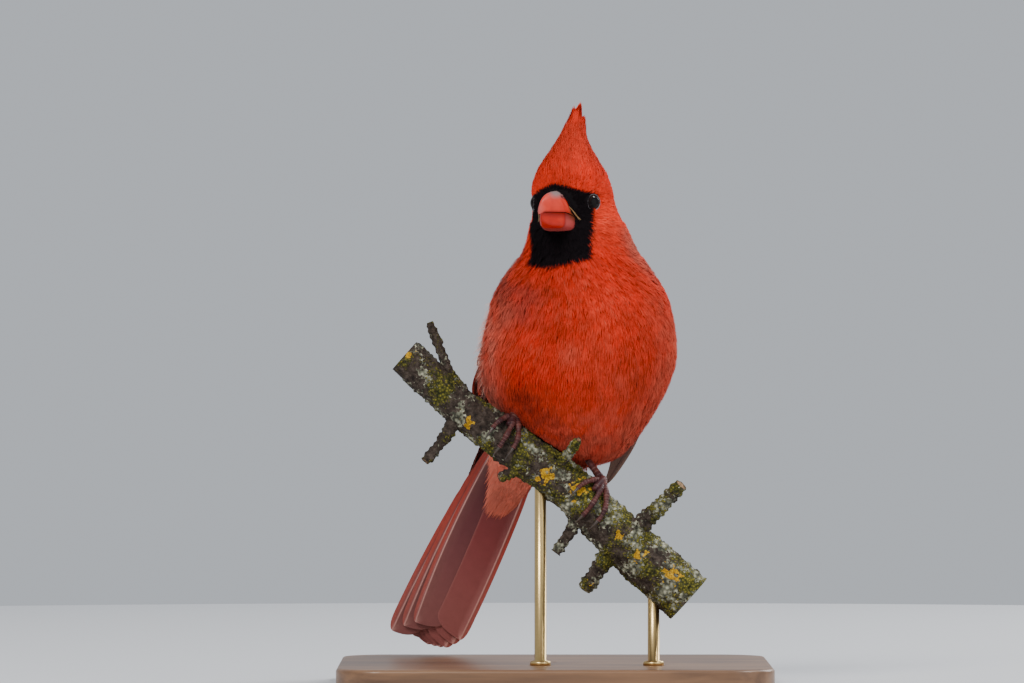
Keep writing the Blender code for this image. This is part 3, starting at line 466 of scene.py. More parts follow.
def tufts(name, surface, h, a, length, wide, number, lift, colour_at, flow_at, unwrap_at, thin=0.22,
          droop=0.0, skip=None, stray=0.08, move=clear_branch, root=-0.2, roll=0.17, feather=None, paler=0.4,
          masked=False):
    """Tufts of thin blades that fan out of each root and lie along the surface."""
    p0 = surface(h, a)
    keep = np.ones(len(h), bool) if skip is None else ~skip(p0, h, a)
    length, wide, lift = (np.broadcast_to(v, len(h))[keep] for v in (length, wide, lift))
    h, a, p0 = h[keep], a[keep], p0[keep]
    count = len(h)
    tint = colour_at(h, a, p0) * (1 + 0.05 * rng.standard_normal((count, 1))).clip(0.75, 1.3)
    if feather:
        near_rim, own = scallops(h, a, *feather)
        worn = (0.5 + 0.9 * cloud(p0, 9.0, 31.0)).clip(0, 1)
        tint = tint * (0.90 + 0.20 * own)[:, None]
        tint = washed(tint, (paler * near_rim**1.5 * (0.35 + 0.65 * worn))[:, None])
        lift = lift * (0.80 + 0.40 * near_rim)
    fan = np.tile((np.arange(number) + 0.5) / number * 2 - 1, count)
    total = len(fan)
    fan = fan + 0.2 * rng.standard_normal(total)
    own = np.repeat(np.arange(count), number)
    reach = length[own] * (1.0 - 0.2 * fan**2) * (1 + 0.12 * rng.standard_normal(total)).clip(0.6, 1.4)
    turned = stray * rng.standard_normal(count)[own] + 0.6 * stray * rng.standard_normal(total)
    rising = lift[own] * (0.84 + 0.20 * rng.random(total))
    rolled = roll * rng.standard_normal(total)[:, None]
    ragged = 0.25 * rng.standard_normal(total)
    hh, aa, last = h[own], a[own], 0.0
    corners, shares, masks = [], [], []
    c, s = np.cos(turned), np.sin(turned)
    way, sh, sa = flow_at(hh, aa), 1.0, 1.0
    for level, size in BLADE_LEVELS:
        step = (level - last) * reach
        last = level
        hh, aa = hh + way[:, 0] * step / sh, aa + way[:, 1] * step / sa
        p, n, dh, da, sh, sa = body_frame(surface, hh, aa)
        black = mask_share(hh, aa, ragged) if masked else np.zeros(total)
        way = flow_at(hh, aa)
        way = np.stack([way[:, 0] * c - way[:, 1] * s, way[:, 0] * s + way[:, 1] * c], -1)
        side = np.cross(n, dh * way[:, :1] + da * way[:, 1:])
        high = root + (rising - root) * math.sin(level * math.pi / 2)
        deep = depth_at(hh) if surface is body else 0.0
        outward = fan * wide[own] * (0.25 + 0.75 * min(1.0, level * 1.4))
        point = p + n * (high - deep)[:, None] + side * outward[:, None] - UP * droop * level**2
        across = (side * np.cos(rolled) + n * np.sin(rolled)) * (thin * size / 2)
        level_corners = [point - across, point + across] if size else [point]
        corners += level_corners
        shares += [level] * len(level_corners)
        masks += [black] * len(level_corners)
    points = np.stack(corners, 1).reshape(-1, 3)
    if move:
        points = move(points)
    per = len(corners)
    start = np.arange(total)[:, None] * per
    faces = np.concatenate([start + np.array(f) for f in BLADE_FACES])
    blade = tint[own] * (1 + 0.055 * rng.standard_normal((total, 1)))
    blade = washed(blade, 0.7 * rng.random((total, 1)) * (rng.random((total, 1)) < 0.16))
    share = np.array(shares)[None, :, None]
    # Each blade is darker at its root, painted shade where it lies under the others, and paler at its tip
    colour = mix(blade[:, None] * 0.90, washed(blade, 0.10)[:, None], share)
    colour = mix(colour, BLACK, np.stack(masks, 1)[..., None])
    place = np.stack([(fan * 0.4).clip(-0.5, 0.5)[:, None].repeat(per, 1),
                      np.broadcast_to(share[..., 0] - 0.5, (total, per))], -1)
    uv = unwrap_at(h, a)[own][:, None, :] + BLADE_CELL * place
    return new_object(name, points, faces, plumage, colour, uv)


def rooted(surface, low, high, pitch, row_pitch, first=-math.pi, last=math.pi, jitter=0.35):
    """Roots in staggered rows over part of a surface."""
    hs, aas = [], []
    h, odd = low, 0
    line = np.linspace(first, last, 80)
    beside = np.array([0.8])
    while h < high:
        lengths = run_along(surface(np.full(len(line), h), line))
        n = max(3, int(lengths[-1] / pitch))
        at = (np.arange(n) + 0.5 * odd + jitter * rng.standard_normal(n)) / n * lengths[-1]
        aas.append(np.interp(at % lengths[-1], lengths, line))
        step = np.linalg.norm(surface(np.array([h + 0.2]), beside) - surface(np.array([h]), beside)) / 0.2
        hs.append(np.full(n, h) + jitter * rng.standard_normal(n) * row_pitch / step)
        h += row_pitch / step
        odd = 1 - odd
    h, a = np.concatenate(hs), np.concatenate(aas)
    inside = (h > low) & (h < high)
    return h[inside], a[inside]


def unwrap(angle, height):
    """A place on the bake map: round the piece, and from its foot at 0 to its top at 1."""
    return np.stack([wrapped(angle) / (2 * math.pi) * 0.96 + 0.5, height], -1)


def body_unwrap(h, a):
    """A place on the bake map by the body's height and angle."""
    return unwrap(a, (h - 72.0) / 134.0)


# Head: where the eyes and the bill are
SIDES = {"left": 1, "right": -1}
EYES = {side: HEAD + AHEAD * 6.0 + LEFT * 9.4 * sign + UP * 0.6 for side, sign in SIDES.items()}
EYE_OUT = {side: unit(AHEAD * 0.55 + LEFT * 0.83 * sign) for side, sign in SIDES.items()}
EYE_RADIUS, CLEAR_OF_EYE, BARE_ROUND_EYE = 3.4, 3.75, 2.9


def in_head(points):
    """Points measured forwards, to the left and up from the head's middle."""
    off = points - HEAD
    return off @ AHEAD, off @ LEFT, off[:, 2]


def bill_foot(points, margin=0.0):
    """Which points lie in the rounded block where the bill grows out of the head."""
    forward, sideways, up = in_head(points)
    low, high = -9.0 - margin, 4.8 + margin
    middle, half = (low + high) / 2, (high - low) / 2
    beside = (np.abs(sideways) / (6.0 + margin)) ** 2.4
    return (forward > 4.0) & (beside + (np.abs(up - middle) / half) ** 2.4 < 1)


def skip_face(points, _h, _a):
    """Which roots would stand on the bill or on an eyeball."""
    bad = bill_foot(points, -0.2)
    for side, eye in EYES.items():
        off = points - eye
        ahead = off @ EYE_OUT[side]
        beside = np.linalg.norm(off - ahead[:, None] * EYE_OUT[side], axis=1)
        bad |= (ahead > 0) & (beside < BARE_ROUND_EYE)
    return bad


def face_move(points):
    """Keeps blades off the eyeballs and out of the branch."""
    points = clear_branch(points)
    for eye in EYES.values():
        off = points - eye
        size = np.linalg.norm(off, axis=1, keepdims=True)
        points = np.where(size < CLEAR_OF_EYE, eye + off * CLEAR_OF_EYE / np.maximum(size, 0.1), points)
    return points


ON_FACE = {"skip": skip_face, "move": face_move, "masked": True}
plumage = painted("plumage", 0.85, 260.0, 0.08, gloss=0.06)
skin_finish = painted("skin under the plumage", 0.85, 300.0, 0.18, gloss=0.1, bump=0.5, bump_scale=700.0)


def skin():
    """One skin from the belly to the crown, as deep under the plumage as the coat there."""
    columns = 120
    h = np.concatenate([77.0 + 8.0 * np.linspace(0, 1, 24) ** 2.0, np.linspace(85.4, 196.0, 126)])
    a = np.arange(columns) / columns * 2 * math.pi - math.pi
    hh, aa = np.repeat(h, columns), np.tile(a, len(h))
    p, normal, *_ = body_frame(body, hh, aa)
    p = p - normal * depth_at(hh)[:, None]
    for side, eye in EYES.items():
        too_near = EYE_RADIUS + 0.15 - np.linalg.norm(p - eye, axis=1, keepdims=True)
        p = np.where(too_near > 0, p - EYE_OUT[side] * np.maximum(0.0, too_near) * 0.6, p)
    p = clear_branch(p, 0.8)
    # The coat's markings, a fifth darker: painted shade deep under the plumage
    colour = mix(coat_colour(hh, aa, p), BLACK, mask_share(hh, aa)[:, None]) * 0.8
    quads = grid_faces(len(h), columns, closed=True)
    c = np.arange(columns)
    low_end, high_end = np.full(columns, len(p)), np.full(columns, len(p) + 1)
    top = len(p) - columns
    caps = [np.stack([low_end, (c + 1) % columns, c], -1),
            np.stack([high_end, top + c, top + (c + 1) % columns], -1)]
    faces = np.concatenate([quads[:, (0, 1, 2)], quads[:, (0, 2, 3)], *caps])
    points = np.concatenate([p, [np.mean(p[:columns], 0), np.mean(p[-columns:], 0)]])
    uv = np.concatenate([body_unwrap(hh, aa), [[0.5, 0.01], [0.5, 0.99]]])
    colour = np.concatenate([colour, [colour[0], colour[-1]]])
    made = new_object("skin", points, faces, skin_finish, colour, uv)
    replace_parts(made, "torso", "neck", "head")


skin()


# Coats: lowest and highest root, distance between roots and rows, length and half width of a tuft, its
# number of blades, how high its tip stands, width and length of a contour feather, and what else differs
COATS = {
    "vent": (77.3, 92.0, 1.25, 1.05, 4.6, 0.95, 9, 1.7, (6.0, 4.0), {"droop": 0.1}),
    "belly": (91.0, 105.0, 1.30, 1.10, 6.0, 1.0, 9, 1.6, (6.6, 4.4), {}),
    "breast": (104.5, 119.0, 1.30, 1.10, 6.0, 1.0, 9, 1.6, (6.6, 4.4), {}),
    "chest": (118.5, 134.0, 1.30, 1.10, 5.8, 1.0, 9, 1.6, (6.4, 4.2), {}),
    "shoulders": (133.5, 150.5, 1.15, 1.00, 5.0, 0.85, 9, 1.7, (5.0, 3.4), {"thin": 0.24, "masked": True}),
    "neck": (150.0, 161.5, 0.95, 0.80, 3.4, 0.65, 8, 1.2, (3.6, 2.4),
             {"thin": 0.20, "paler": 0.25, **ON_FACE}),
    "face": (161.0, 175.5, 0.80, 0.68, 2.4, 0.5, 7, 0.75, (2.6, 1.8),
             {"thin": 0.17, "paler": 0.12, **ON_FACE}),
    "crown": (175.0, 191.5, 0.85, 0.80, 5.0, 0.55, 7, 1.0, (3.0, 3.6), {"thin": 0.19, "paler": 0.12}),
}
for part, (low, high, pitch, row_pitch, length, wide, number, lift, feather, more) in COATS.items():
    h, a = rooted(body, low, high, pitch, row_pitch)
    tufts(f"coat_{part}", body, h, a, length, wide, number, lift, coat_colour, flow, body_unwrap,
          feather=feather, **more)


# Vanes of the wings and tail
DUSKY = np.array([0.070, 0.034, 0.032])
DARK_WEB = np.array([0.135, 0.038, 0.042])
LIGHT_WEB = np.array([0.210, 0.040, 0.040])
EDGE = np.array([0.440, 0.062, 0.042])
# Red outer edges along the wing's lower edge: their own red, made lighter as painted light from below
EDGE_WITH_PAINTED_LIGHT = np.array([0.700, 0.120, 0.075])
SHAFT = np.array([0.820, 0.440, 0.380])
TIP = np.array([0.340, 0.130, 0.115])
BUFF = np.array([0.340, 0.220, 0.160])
# Undertail coverts: their own red made a light salmon, painted light on the shaded underside
SALMON = np.array([0.930, 0.250, 0.165])
QUILL = np.array([0.090, 0.036, 0.032])
SHAFT_HALF = 0.40
# Share of a vane's length where its rows begin to crowd towards the tip
VANE_TIP = 0.84


class Bag:
    """Gathers the vanes of one piece: points, faces, paint and a cell of the bake map for each vane."""

    def __init__(self, cells):
        self.points, self.faces, self.paint, self.bake, self.barbs = [], [], [], [], []
        self.count, self.cells, self.used = 0, cells, 0

    def add(self, points, paint, along, across):
        rows, columns = points.shape[:2]
        self.points.append(points.reshape(-1, 3))
        self.faces.append(grid_faces(rows, columns, start=self.count))
        self.paint.append(paint.reshape(-1, 3))
        self.barbs.append(np.stack([across, along], -1).reshape(-1, 2))
        cell = 1.0 / self.cells
        u = (self.used % self.cells + 0.5 + 0.42 * across / max(1e-6, np.abs(across).max())) * cell
        v = (self.used // self.cells + 0.08 + 0.84 * along / along.max()) * cell
        self.bake.append(np.stack([u, v], -1).reshape(-1, 2))
        self.count += rows * columns
        self.used += 1

    def make(self, name, material):
        made = new_object(name, np.concatenate(self.points), np.concatenate(self.faces), material,
                          np.concatenate(self.paint), np.concatenate(self.bake))
        add_uv(made.data, "Barbs", np.concatenate(self.barbs))
        made.data.uv_layers["OFBake"].active = True
        return made


def on_shaft(offset):
    """Which points of a vane lie on its shaft."""
    return np.abs(offset) < 0.5 * SHAFT_HALF


def vane_grid(rows, left, right, root=0.35, shoulder=0.86):
    """Shares along a vane, its columns from -1 to 1, and how far each point lies from the shaft."""
    tip_rows = rows // 3
    t = np.concatenate([np.linspace(0, VANE_TIP, rows - tip_rows, endpoint=False),
                        VANE_TIP + (1 - VANE_TIP) * np.sin(np.linspace(0, math.pi / 2, tip_rows))])[:, None]
    s = np.array([-1.0, -0.93, -0.75, -0.48, -0.22, -SHAFT_HALF / left, 0.0, SHAFT_HALF / right,
                  0.35, 0.62, 0.85, 0.95, 1.0])[None, :]
    early = root + (1 - root) * np.sin((t / 0.4).clip(0, 1) * math.pi / 2)
    late = ((t - shoulder) / (1 - shoulder)).clip(0, 1)
    width = early * np.sqrt((1 - late**2.2).clip(0, 1)) * notches(t, s, 4)
    offset = s * np.where(s < 0, left, right) * width
    return t * np.ones_like(s), s * np.ones_like(t), offset


def notches(t, s, count, deepest=0.10):
    """How far the edges of a vane are drawn in where its barbs have parted."""
    cut = np.ones(np.broadcast_shapes(t.shape, s.shape))
    for _ in range(count):
        place, side = rng.uniform(0.3, 0.9), rng.choice([-1, 1])
        size = rng.uniform(0.006, 0.014)
        cut = cut - deepest * rng.uniform(0.2, 1.0) * np.exp(-((t - place) / size) ** 2) * (s * side > 0.3)
    return cut


def vane_paint(t, s, offset, web, outer, outer_sign, tip, bright=(0.15, 0.5), quill=SHAFT):
    """Darker web, brighter outer edge, the shaft, and a paler tip and rim."""
    t, s = t[..., None], s[..., None]
    rows = mix(web * (0.88 + 0.2 * t), outer, smooth(*bright, s * outer_sign) * 0.9)
    rows = mix(rows, tip, smooth(0.45, 1.0, t) * 0.5)
    rows = mix(rows, tip, smooth(0.94, 1.0, np.abs(s)) * 0.45)
    shaft = 1 - smooth(0.2 * SHAFT_HALF, 1.2 * SHAFT_HALF, np.abs(offset))[..., None]
    return mix(rows, quill, shaft * (0.95 - 0.35 * t))


def vane_finish(name, roughness, gloss=0.25, barb=21.0):
    """A finish with fine barbs that slant from the shaft to both edges."""
    made, tree, shader = nodes_of(name, roughness)
    parts = add(tree, "SeparateXYZ", Vector=add(tree, "UVMap", uv_map="Barbs").outputs["UV"])
    away = add(tree, "Math", parts.outputs["X"], operation="ABSOLUTE")
    lean = add(tree, "Math", away.outputs[0], -0.9, parts.outputs["Y"], operation="MULTIPLY_ADD")
    phase = add(tree, "Math", lean.outputs[0], barb, operation="MULTIPLY")
    wave = add(tree, "Math", phase.outputs[0], operation="SINE")
    noisy = add(tree, "TexNoise", Vector=own_place(tree), Scale=420.0, Detail=4.0)
    both = add(tree, "Math", noisy.outputs["Fac"], 1.6, wave.outputs[0], operation="MULTIPLY_ADD").outputs[0]
    mottled(tree, shader, both, -0.6, 2.2, 0.16)
    relief(tree, shader, both, 0.20, 0.00015)
    shader.inputs["Specular IOR Level"].default_value = gloss
    return made


TAIL_ROOT = np.array([-8.0, 35.0, 93.9])
TAIL_WAY = unit(np.array([-0.385, 0.47, -0.795]))
BELLY = unit(FRONT - TAIL_WAY * (TAIL_WAY @ FRONT))
TAIL_SIDE = unit(np.cross(TAIL_WAY, BELLY))
TAIL_SIDE *= np.sign(TAIL_SIDE[0])
# How far apart the feathers of a folded tail lie, and how far the left one of a pair lies under the right
TAIL_STEP, PAIR_STEP, QUILL_LENGTH = 0.84, 0.42, 3.0
# Tail feathers from the middle pair outwards: shaft at the root, half way and tip, inner and outer web,
# length
TAIL_LEFT = ((1.5, 2.4, 2.6, 8.0, 3.0, 102.5), (3.0, 4.4, 4.8, 8.5, 2.8, 101.5),
             (4.0, 6.2, 6.8, 9.0, 2.6, 100.5), (5.0, 7.8, 8.8, 9.5, 2.4, 99.0),
             (6.2, 9.5, 10.6, 10.0, 2.1, 96.0), (7.2, 11.0, 12.2, 11.2, 1.6, 92.5))
TAIL_RIGHT = ((-1.5, -3.0, -3.0, 8.0, 3.0, 102.0), (-3.5, -6.8, -7.2, 8.5, 2.6, 102.0),
              (-4.8, -9.2, -10.2, 9.0, 2.3, 103.0), (-5.6, -10.1, -10.9, 9.5, 2.1, 102.5),
              (-6.0, -9.1, -7.8, 10.0, 1.9, 98.0), (-5.6, -7.5, -4.8, 10.5, 1.7, 94.0))
# The tail's fleshy base under its coverts: place along the tail, half width and half thickness
TAIL_BASE = np.array([(-8.0, 13.0, 10.0), (0.0, 12.6, 9.6), (8.0, 12.0, 8.4), (18.0, 11.4, 6.2),
                      (30.0, 10.8, 5.0), (40.0, 9.6, 3.8), (48.0, 8.0, 2.8)])


def tail():
    """Six pairs of long feathers, the middle pair on top and the outer ones under it."""
    bag = Bag(4)
    for pair in range(len(TAIL_LEFT)):
        for sign, table in zip(SIDES.values(), (TAIL_LEFT, TAIL_RIGHT)):
            root, half_way, end, inner, outer, length = table[pair]
            layer = (pair - 2.5) * TAIL_STEP + (PAIR_STEP if sign > 0 else 0.0)
            left, right = (inner, outer)[::sign]
            t, s, offset = vane_grid(42, left, right, shoulder=0.93)
            across = root * (1 - t) * (1 - 2 * t) + 4 * half_way * t * (1 - t) + end * t * (2 * t - 1)
            curve = 1.3 * (t - 0.35) ** 2 * (1 + 0.2 * rng.standard_normal())
            below = layer + curve - 0.004 * offset**2 + 0.22 * on_shaft(offset)
            points = (TAIL_ROOT + TAIL_WAY * (QUILL_LENGTH + t * (length - QUILL_LENGTH))[..., None]
                      + TAIL_SIDE * (across + offset)[..., None] + BELLY * below[..., None])
            web = (LIGHT_WEB if sign > 0 else DARK_WEB) * (1 + 0.06 * rng.standard_normal())
            bag.add(points, vane_paint(t, s, offset, web, EDGE, sign, TIP), t * length, offset)
    made = bag.make("tail_feathers", vanes_finish)
    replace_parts(made, "tail")


def tail_base(u, v):
    """Points on the tail's fleshy base: u along it, v round it from its underside."""
    half, thick = hermite(TAIL_BASE, np.clip(u, TAIL_BASE[0, 0], TAIL_BASE[-1, 0])).T
    return (TAIL_ROOT + TAIL_WAY * np.asarray(u)[:, None] + TAIL_SIDE * (half * np.sin(v))[:, None]
            + BELLY * (thick * np.sign(np.cos(v)) * np.abs(np.cos(v)) ** 0.7)[:, None])


def covert_colour(u, v, points):
    """Salmon below, their own colour made lighter as painted light on the shaded underside, greyish above,
    rosier where the coverts end.
    """
    fine = cloud(points, 5.0, 3.0)
    under = smooth(-0.3, 0.4, np.cos(v))[:, None]
    colour = mix(GREYISH * 1.15, SALMON * (0.95 + 0.12 * fine)[:, None], under)
    return mix(colour, ROSE * 1.25, (smooth(22.0, 34.0, u) * 0.5)[:, None])


def straight_on(u, _v):
    """The lie of feathers that follow a surface's length."""
    return np.stack([np.ones_like(u), np.zeros_like(u)], -1)


def tail_unwrap(u, v):
    """A place on the bake map by the place on the tail's base."""
    return unwrap(v, (u + 10.0) / 60.0)


def past_coverts(points, u, v):
    """Below, the coverts end on a slant, shorter on the bird's right."""
    across = (points - TAIL_ROOT) @ TAIL_SIDE
    return (np.cos(v) > 0) & (u > np.minimum(34.0, 16.0 + 2.6 * (across + 6.0)))


def coverts():
    """Short soft feathers over the root of the tail."""
    u, v = rooted(tail_base, -7.0, 34.0, 1.1, 1.2)
    tufts("tail_coverts", tail_base, u, v, mix(7.0, 9.0, smooth(5.0, 30.0, u)), 1.1, 11, 0.5, covert_colour,
          straight_on, tail_unwrap, thin=0.26, move=None, stray=0.05, skip=past_coverts)


# Wings: share along, middle x, y and z, radius sideways and at the back
WINGS = {
    "left": np.array([(0.0, 9.5, 2.0, 141.0, 20.5, 19.0), (0.3, 9.0, 8.0, 124.0, 29.5, 29.5),
                      (0.6, 7.5, 16.0, 104.0, 31.0, 27.5), (0.85, 5.0, 30.0, 84.5, 27.5, 21.5),
                      (1.0, 2.0, 40.0, 69.5, 22.0, 15.5)]),
    "right": np.array([(0.0, 8.5, 2.0, 141.0, 20.5, 19.0), (0.3, 8.8, 8.0, 124.0, 30.0, 29.5),
                       (0.6, 6.0, 14.5, 104.0, 38.0, 28.5), (0.85, -1.0, 27.0, 92.0, 28.0, 23.5),
                       (1.0, -6.0, 36.0, 82.0, 21.0, 18.5)]),
}
# Tiers of coverts: first and last share, how many, how far out they lie, half width
COVERT_TIERS = ((0.22, 0.52, 9, 2.2, 3.7), (0.13, 0.36, 9, 2.6, 3.0), (0.05, 0.24, 9, 2.8, 2.7),
                (-0.01, 0.14, 8, 2.7, 2.4))
REMIGES, PRIMARIES = 14, 7
# Shares of the half width between which the outer web passes into its bright rim; the wide rim, on the two
# lowest feathers, is partly painted light from below
RIM, WIDE_RIM = (0.74, 0.86), (0.45, 0.62)
# The mantle: height for a whole wing, half width of the body under it, and how far out of the wing it lies
WING_HEIGHT, BODY_HALF, MANTLE_RISE = 100.0, 30.0, 2.2


def wing_at(which, share, turn, rise):
    """Points over the folded wing: share down its length, turn from its lower edge round to the back."""
    share, turn, rise = np.broadcast_arrays(share, turn, rise)
    x, y, z, wide, deep = (v.reshape(share.shape) for v in hermite(WINGS[which], share.ravel()).T)
    sideways = SIDES[which] * (wide + rise) * np.cos(turn)
    return np.stack([x + sideways, y + (deep + rise) * np.sin(turn), z], -1)


def low_edge(share):
    """Turn where the wing's lower edge lies."""
    return np.radians(8.0 + 34.0 * np.asarray(share))


def high_edge(share):
    """Turn where the wing's upper edge lies, by the back."""
    share = np.asarray(share)
    rise = np.sin((share / 0.45).clip(0, 1) * math.pi / 2)
    return np.radians(42.0 + 40.0 * rise - 16.0 * (share - 0.6).clip(0) / 0.4)


def wing(which):
    """The folded wing: a lining, the long feathers, and tiers of coverts over their roots."""
    bag = Bag(9)

    def feather(start, end, half, low, rows, web, outer, tip, lean=0.0, shoulder=0.72, rim=RIM):
        """One feather from a (share, turn) to another, low being how far out it lies."""
        t, s, offset = vane_grid(rows, half, half, 0.5, shoulder)
        share = mix(start[0], end[0], t)
        turn = mix(start[1], end[1], t)
        radius = hermite(WINGS[which][:, (0, 5)], share.ravel())[:, 0].reshape(t.shape)
        rise = low - 0.006 * offset**2 + 0.12 * on_shaft(offset) + lean * t
        points = wing_at(which, share, turn + offset / radius, rise)
        web = web * (1 + 0.07 * rng.standard_normal())
        paint = vane_paint(t, s, offset, web, outer, -1, tip, bright=rim, quill=QUILL)
        shaft = s.shape[1] // 2
        length = np.linalg.norm(points[-1, shaft] - points[0, shaft])
        bag.add(points, paint, t * length, offset)

    def lining():
        """The sheet under the feathers, red along its lower edge, made lighter there as painted light from
        below.
        """
        share = np.linspace(0.02, 0.66, 16)[:, None] * np.ones(24)
        low, high = low_edge(share) + 0.03, high_edge(share) - 0.05
        part = np.linspace(0, 1, 24) * np.ones((16, 1))
        turn = mix(low, high, part**1.5)
        rise = 0.1 + 1.2 * smooth(0.0, 0.4, (turn - low) / (high - low)) * smooth(0.0, 0.2, share)
        paint = mix(EDGE_WITH_PAINTED_LIGHT, DARK_WEB, smooth(0.05, 0.10, part**1.5)[..., None])
        bag.add(wing_at(which, share, turn, rise), paint, share * 60.0, turn)

    def remiges():
        """Long feathers, from the primaries at the lower edge to the short inner ones by the back."""
        rows = 32
        for k in range(REMIGES):
            rank = k / (REMIGES - 1)
            start = 0.34 + 0.08 * rank
            end = 1.0 - 0.016 * k if k < PRIMARIES else 0.86 - 0.016 * (k - PRIMARIES)
            first = low_edge(start) + 0.06 + 0.86 * rank * (high_edge(start) - low_edge(start) - 0.1)
            last = low_edge(end) + (0.02 + 0.78 * rank) * (high_edge(end) - low_edge(end))
            tipped = smooth(5.0, 0.0, k)
            faded = tipped * smooth(0.5, 0.8, np.linspace(0, 1, rows))[:, None, None]
            # The lowest feathers take the lighter red edge and the two lowest a wider rim: their own red
            # edges, made lighter and wider as painted light from below
            outer = mix(mix(EDGE, EDGE_WITH_PAINTED_LIGHT, tipped), BUFF, faded)
            web = mix(DUSKY, LIGHT_WEB * 0.7, 0.4 * smooth(0.35, 0.8, rank))
            feather((start, first), (end, last), 3.0 + 1.9 * rank, 0.25 + 0.19 * k, rows, web, outer,
                    mix(TIP * 0.5, BUFF, tipped), rim=WIDE_RIM if k < 2 else RIM)

    def wing_coverts():
        """Short feathers in tiers over the roots of the long ones."""
        for tier, (start, end, number, rise, half) in enumerate(COVERT_TIERS):
            web = mix(DUSKY * 1.3, EDGE, 0.15 + 0.08 * tier)
            for k in range(number):
                rank = (k + 0.5) / number
                s0 = start + 0.01 * rng.standard_normal()
                s1 = end - 0.07 * abs(rank - 0.4) + 0.008 * rng.standard_normal()
                t0 = low_edge(s0) + rank * (high_edge(s0) - low_edge(s0))
                t1 = low_edge(s1) + 0.02 + rank * (high_edge(s1) - low_edge(s1) - 0.05)
                feather((s0, t0), (s1, t1), half, rise + 0.06 * k, 22, web, mix(EDGE, GREYISH, 0.25),
                        mix(EDGE, ROSE, 0.35) * 0.6, lean=0.1, shoulder=0.45)

    lining()
    remiges()
    wing_coverts()
    made = bag.make(f"wing_feathers_{which}", vanes_finish)
    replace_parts(made, f"wing_{which}")


def body_reach(points):
    """How far out the points lie, 1 being the outside of the plumage, and the middle line beside them."""
    x, y, half, front, back, turn = body_slices(points[:, 2])
    off_x, off_y = points[:, 0] - x, points[:, 1] - y
    along = -np.sin(turn) * off_x - np.cos(turn) * off_y
    across = np.cos(turn) * off_x - np.sin(turn) * off_y
    ahead = along / np.hypot(along, across).clip(1e-6)
    reach = mix(back, front, smooth(-FRONT_BLEND, FRONT_BLEND, ahead))
    return np.hypot(across / half, along / reach), np.stack([x, y, points[:, 2]], -1)


def wing_cover(which, margin):
    """A surface over the wing and the body beside it: height down the wing, angle round the body."""
    least = 1 + margin / BODY_HALF

    def surface(h, a):
        h, a = np.broadcast_arrays(np.asarray(h, float), np.asarray(a, float))
        points = wing_at(which, -h / WING_HEIGHT, np.abs(a) - math.pi / 2, MANTLE_RISE)
        share, middle = body_reach(points)
        outside = middle + (points - middle) * (least / share)[:, None]
        return np.where(share[:, None] < least, outside, points)
    return surface


def mantle(which):
    """Body feathers that lap over the bend and the upper edge of the wing."""
    sign = SIDES[which]
    cover = wing_cover(which, -0.5)
    h, a = rooted(cover, -64.0, 1.0, 1.15, 1.3, *sorted((sign * 1.55, sign * 3.25)))
    share, turn = -h / WING_HEIGHT, np.abs(a) - math.pi / 2
    out, _ = body_reach(wing_at(which, share, turn, MANTLE_RISE))
    over, past = (out - 1) * BODY_HALF, turn - high_edge(share)
    bend = (over > -3.5) & (over < 1.6) & (share < 0.34) & (turn > 0.45) & (past < 0.1)
    back = (past > -0.03) & (past < mix(0.5, 0.22, smooth(0.1, 0.3, share)))
    h, a = h[bend | back], a[bend | back]

    def colour_at(_h, a, points):
        return coat_colour(points[:, 2], wrapped(a), points)

    def flow_at(h, a):
        beside = smooth(0.0, 0.2, np.abs(a) - math.pi / 2 - high_edge(-h / WING_HEIGHT) + 0.1)
        return unit(np.stack([-np.ones_like(h), -0.22 * sign * (0.2 + beside)], -1))

    tufts(f"mantle_{which}", cover, h, a, 7.5, 1.2, 11, 2.6, colour_at, flow_at,
          lambda h, a: unwrap(a, 0.98 + h / 110.0), thin=0.24, move=None)


vanes_finish = vane_finish("flight feathers", 0.55)
tail()
coverts()
for which in SIDES:
    wing(which)
    mantle(which)


# Crest and loose barbs
BARB = np.array([0.660, 0.370, 0.295])


def crest():
    """The long feathers at the top of the crest, which close to two tips and two short points."""
    tips = np.array([(9.0, 0.2, 201.3), (6.3, -0.2, 200.0), (10.7, 0.0, 196.7), (5.3, -0.5, 195.6)])
    chance = np.array([0.42, 0.33, 0.15, 0.10])
    count = 2600
    h = 184.0 + 11.0 * rng.random(count)
    a = rng.uniform(-math.pi, math.pi, count)
    p, normal, dh, _, _, _ = body_frame(body, h, a)
    p = p - normal * 0.5
    pick = rng.choice(len(tips), count, p=chance)
    aim = tips[pick] + rng.standard_normal((count, 3)) * np.array([0.13, 0.13, 0.5])
    whole = np.linalg.norm(aim - p, axis=1, keepdims=True)
    part = rng.uniform(0.74, 1.0, (count, 1))
    bend = p + dh * whole * 0.5 + normal * 0.15
    centres = np.stack([(1 - q) ** 2 * p + 2 * q * (1 - q) * bend + q**2 * aim
                        for q in (t * part for t in (0.0, 0.3, 0.6, 0.85, 1.0))], 1)
    way = unit(np.gradient(centres, axis=1))
    out = unit((centres - np.array([7.2, -1.0, 0.0])) * np.array([1, 1, 0]))
    side = unit(np.cross(out, way))
    side = unit(side + out * 0.3 * rng.standard_normal((count, 1, 1)))
    colour = coat_colour(h, a, p) * (1 + 0.10 * rng.standard_normal((count, 1))).clip(0.7, 1.3)
    made = ribbons("crest_feathers", centres, side, np.array([0.14, 0.17, 0.16, 0.12, 0.0]), colour,
                   body_unwrap(h, a))
    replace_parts(made, "crest")


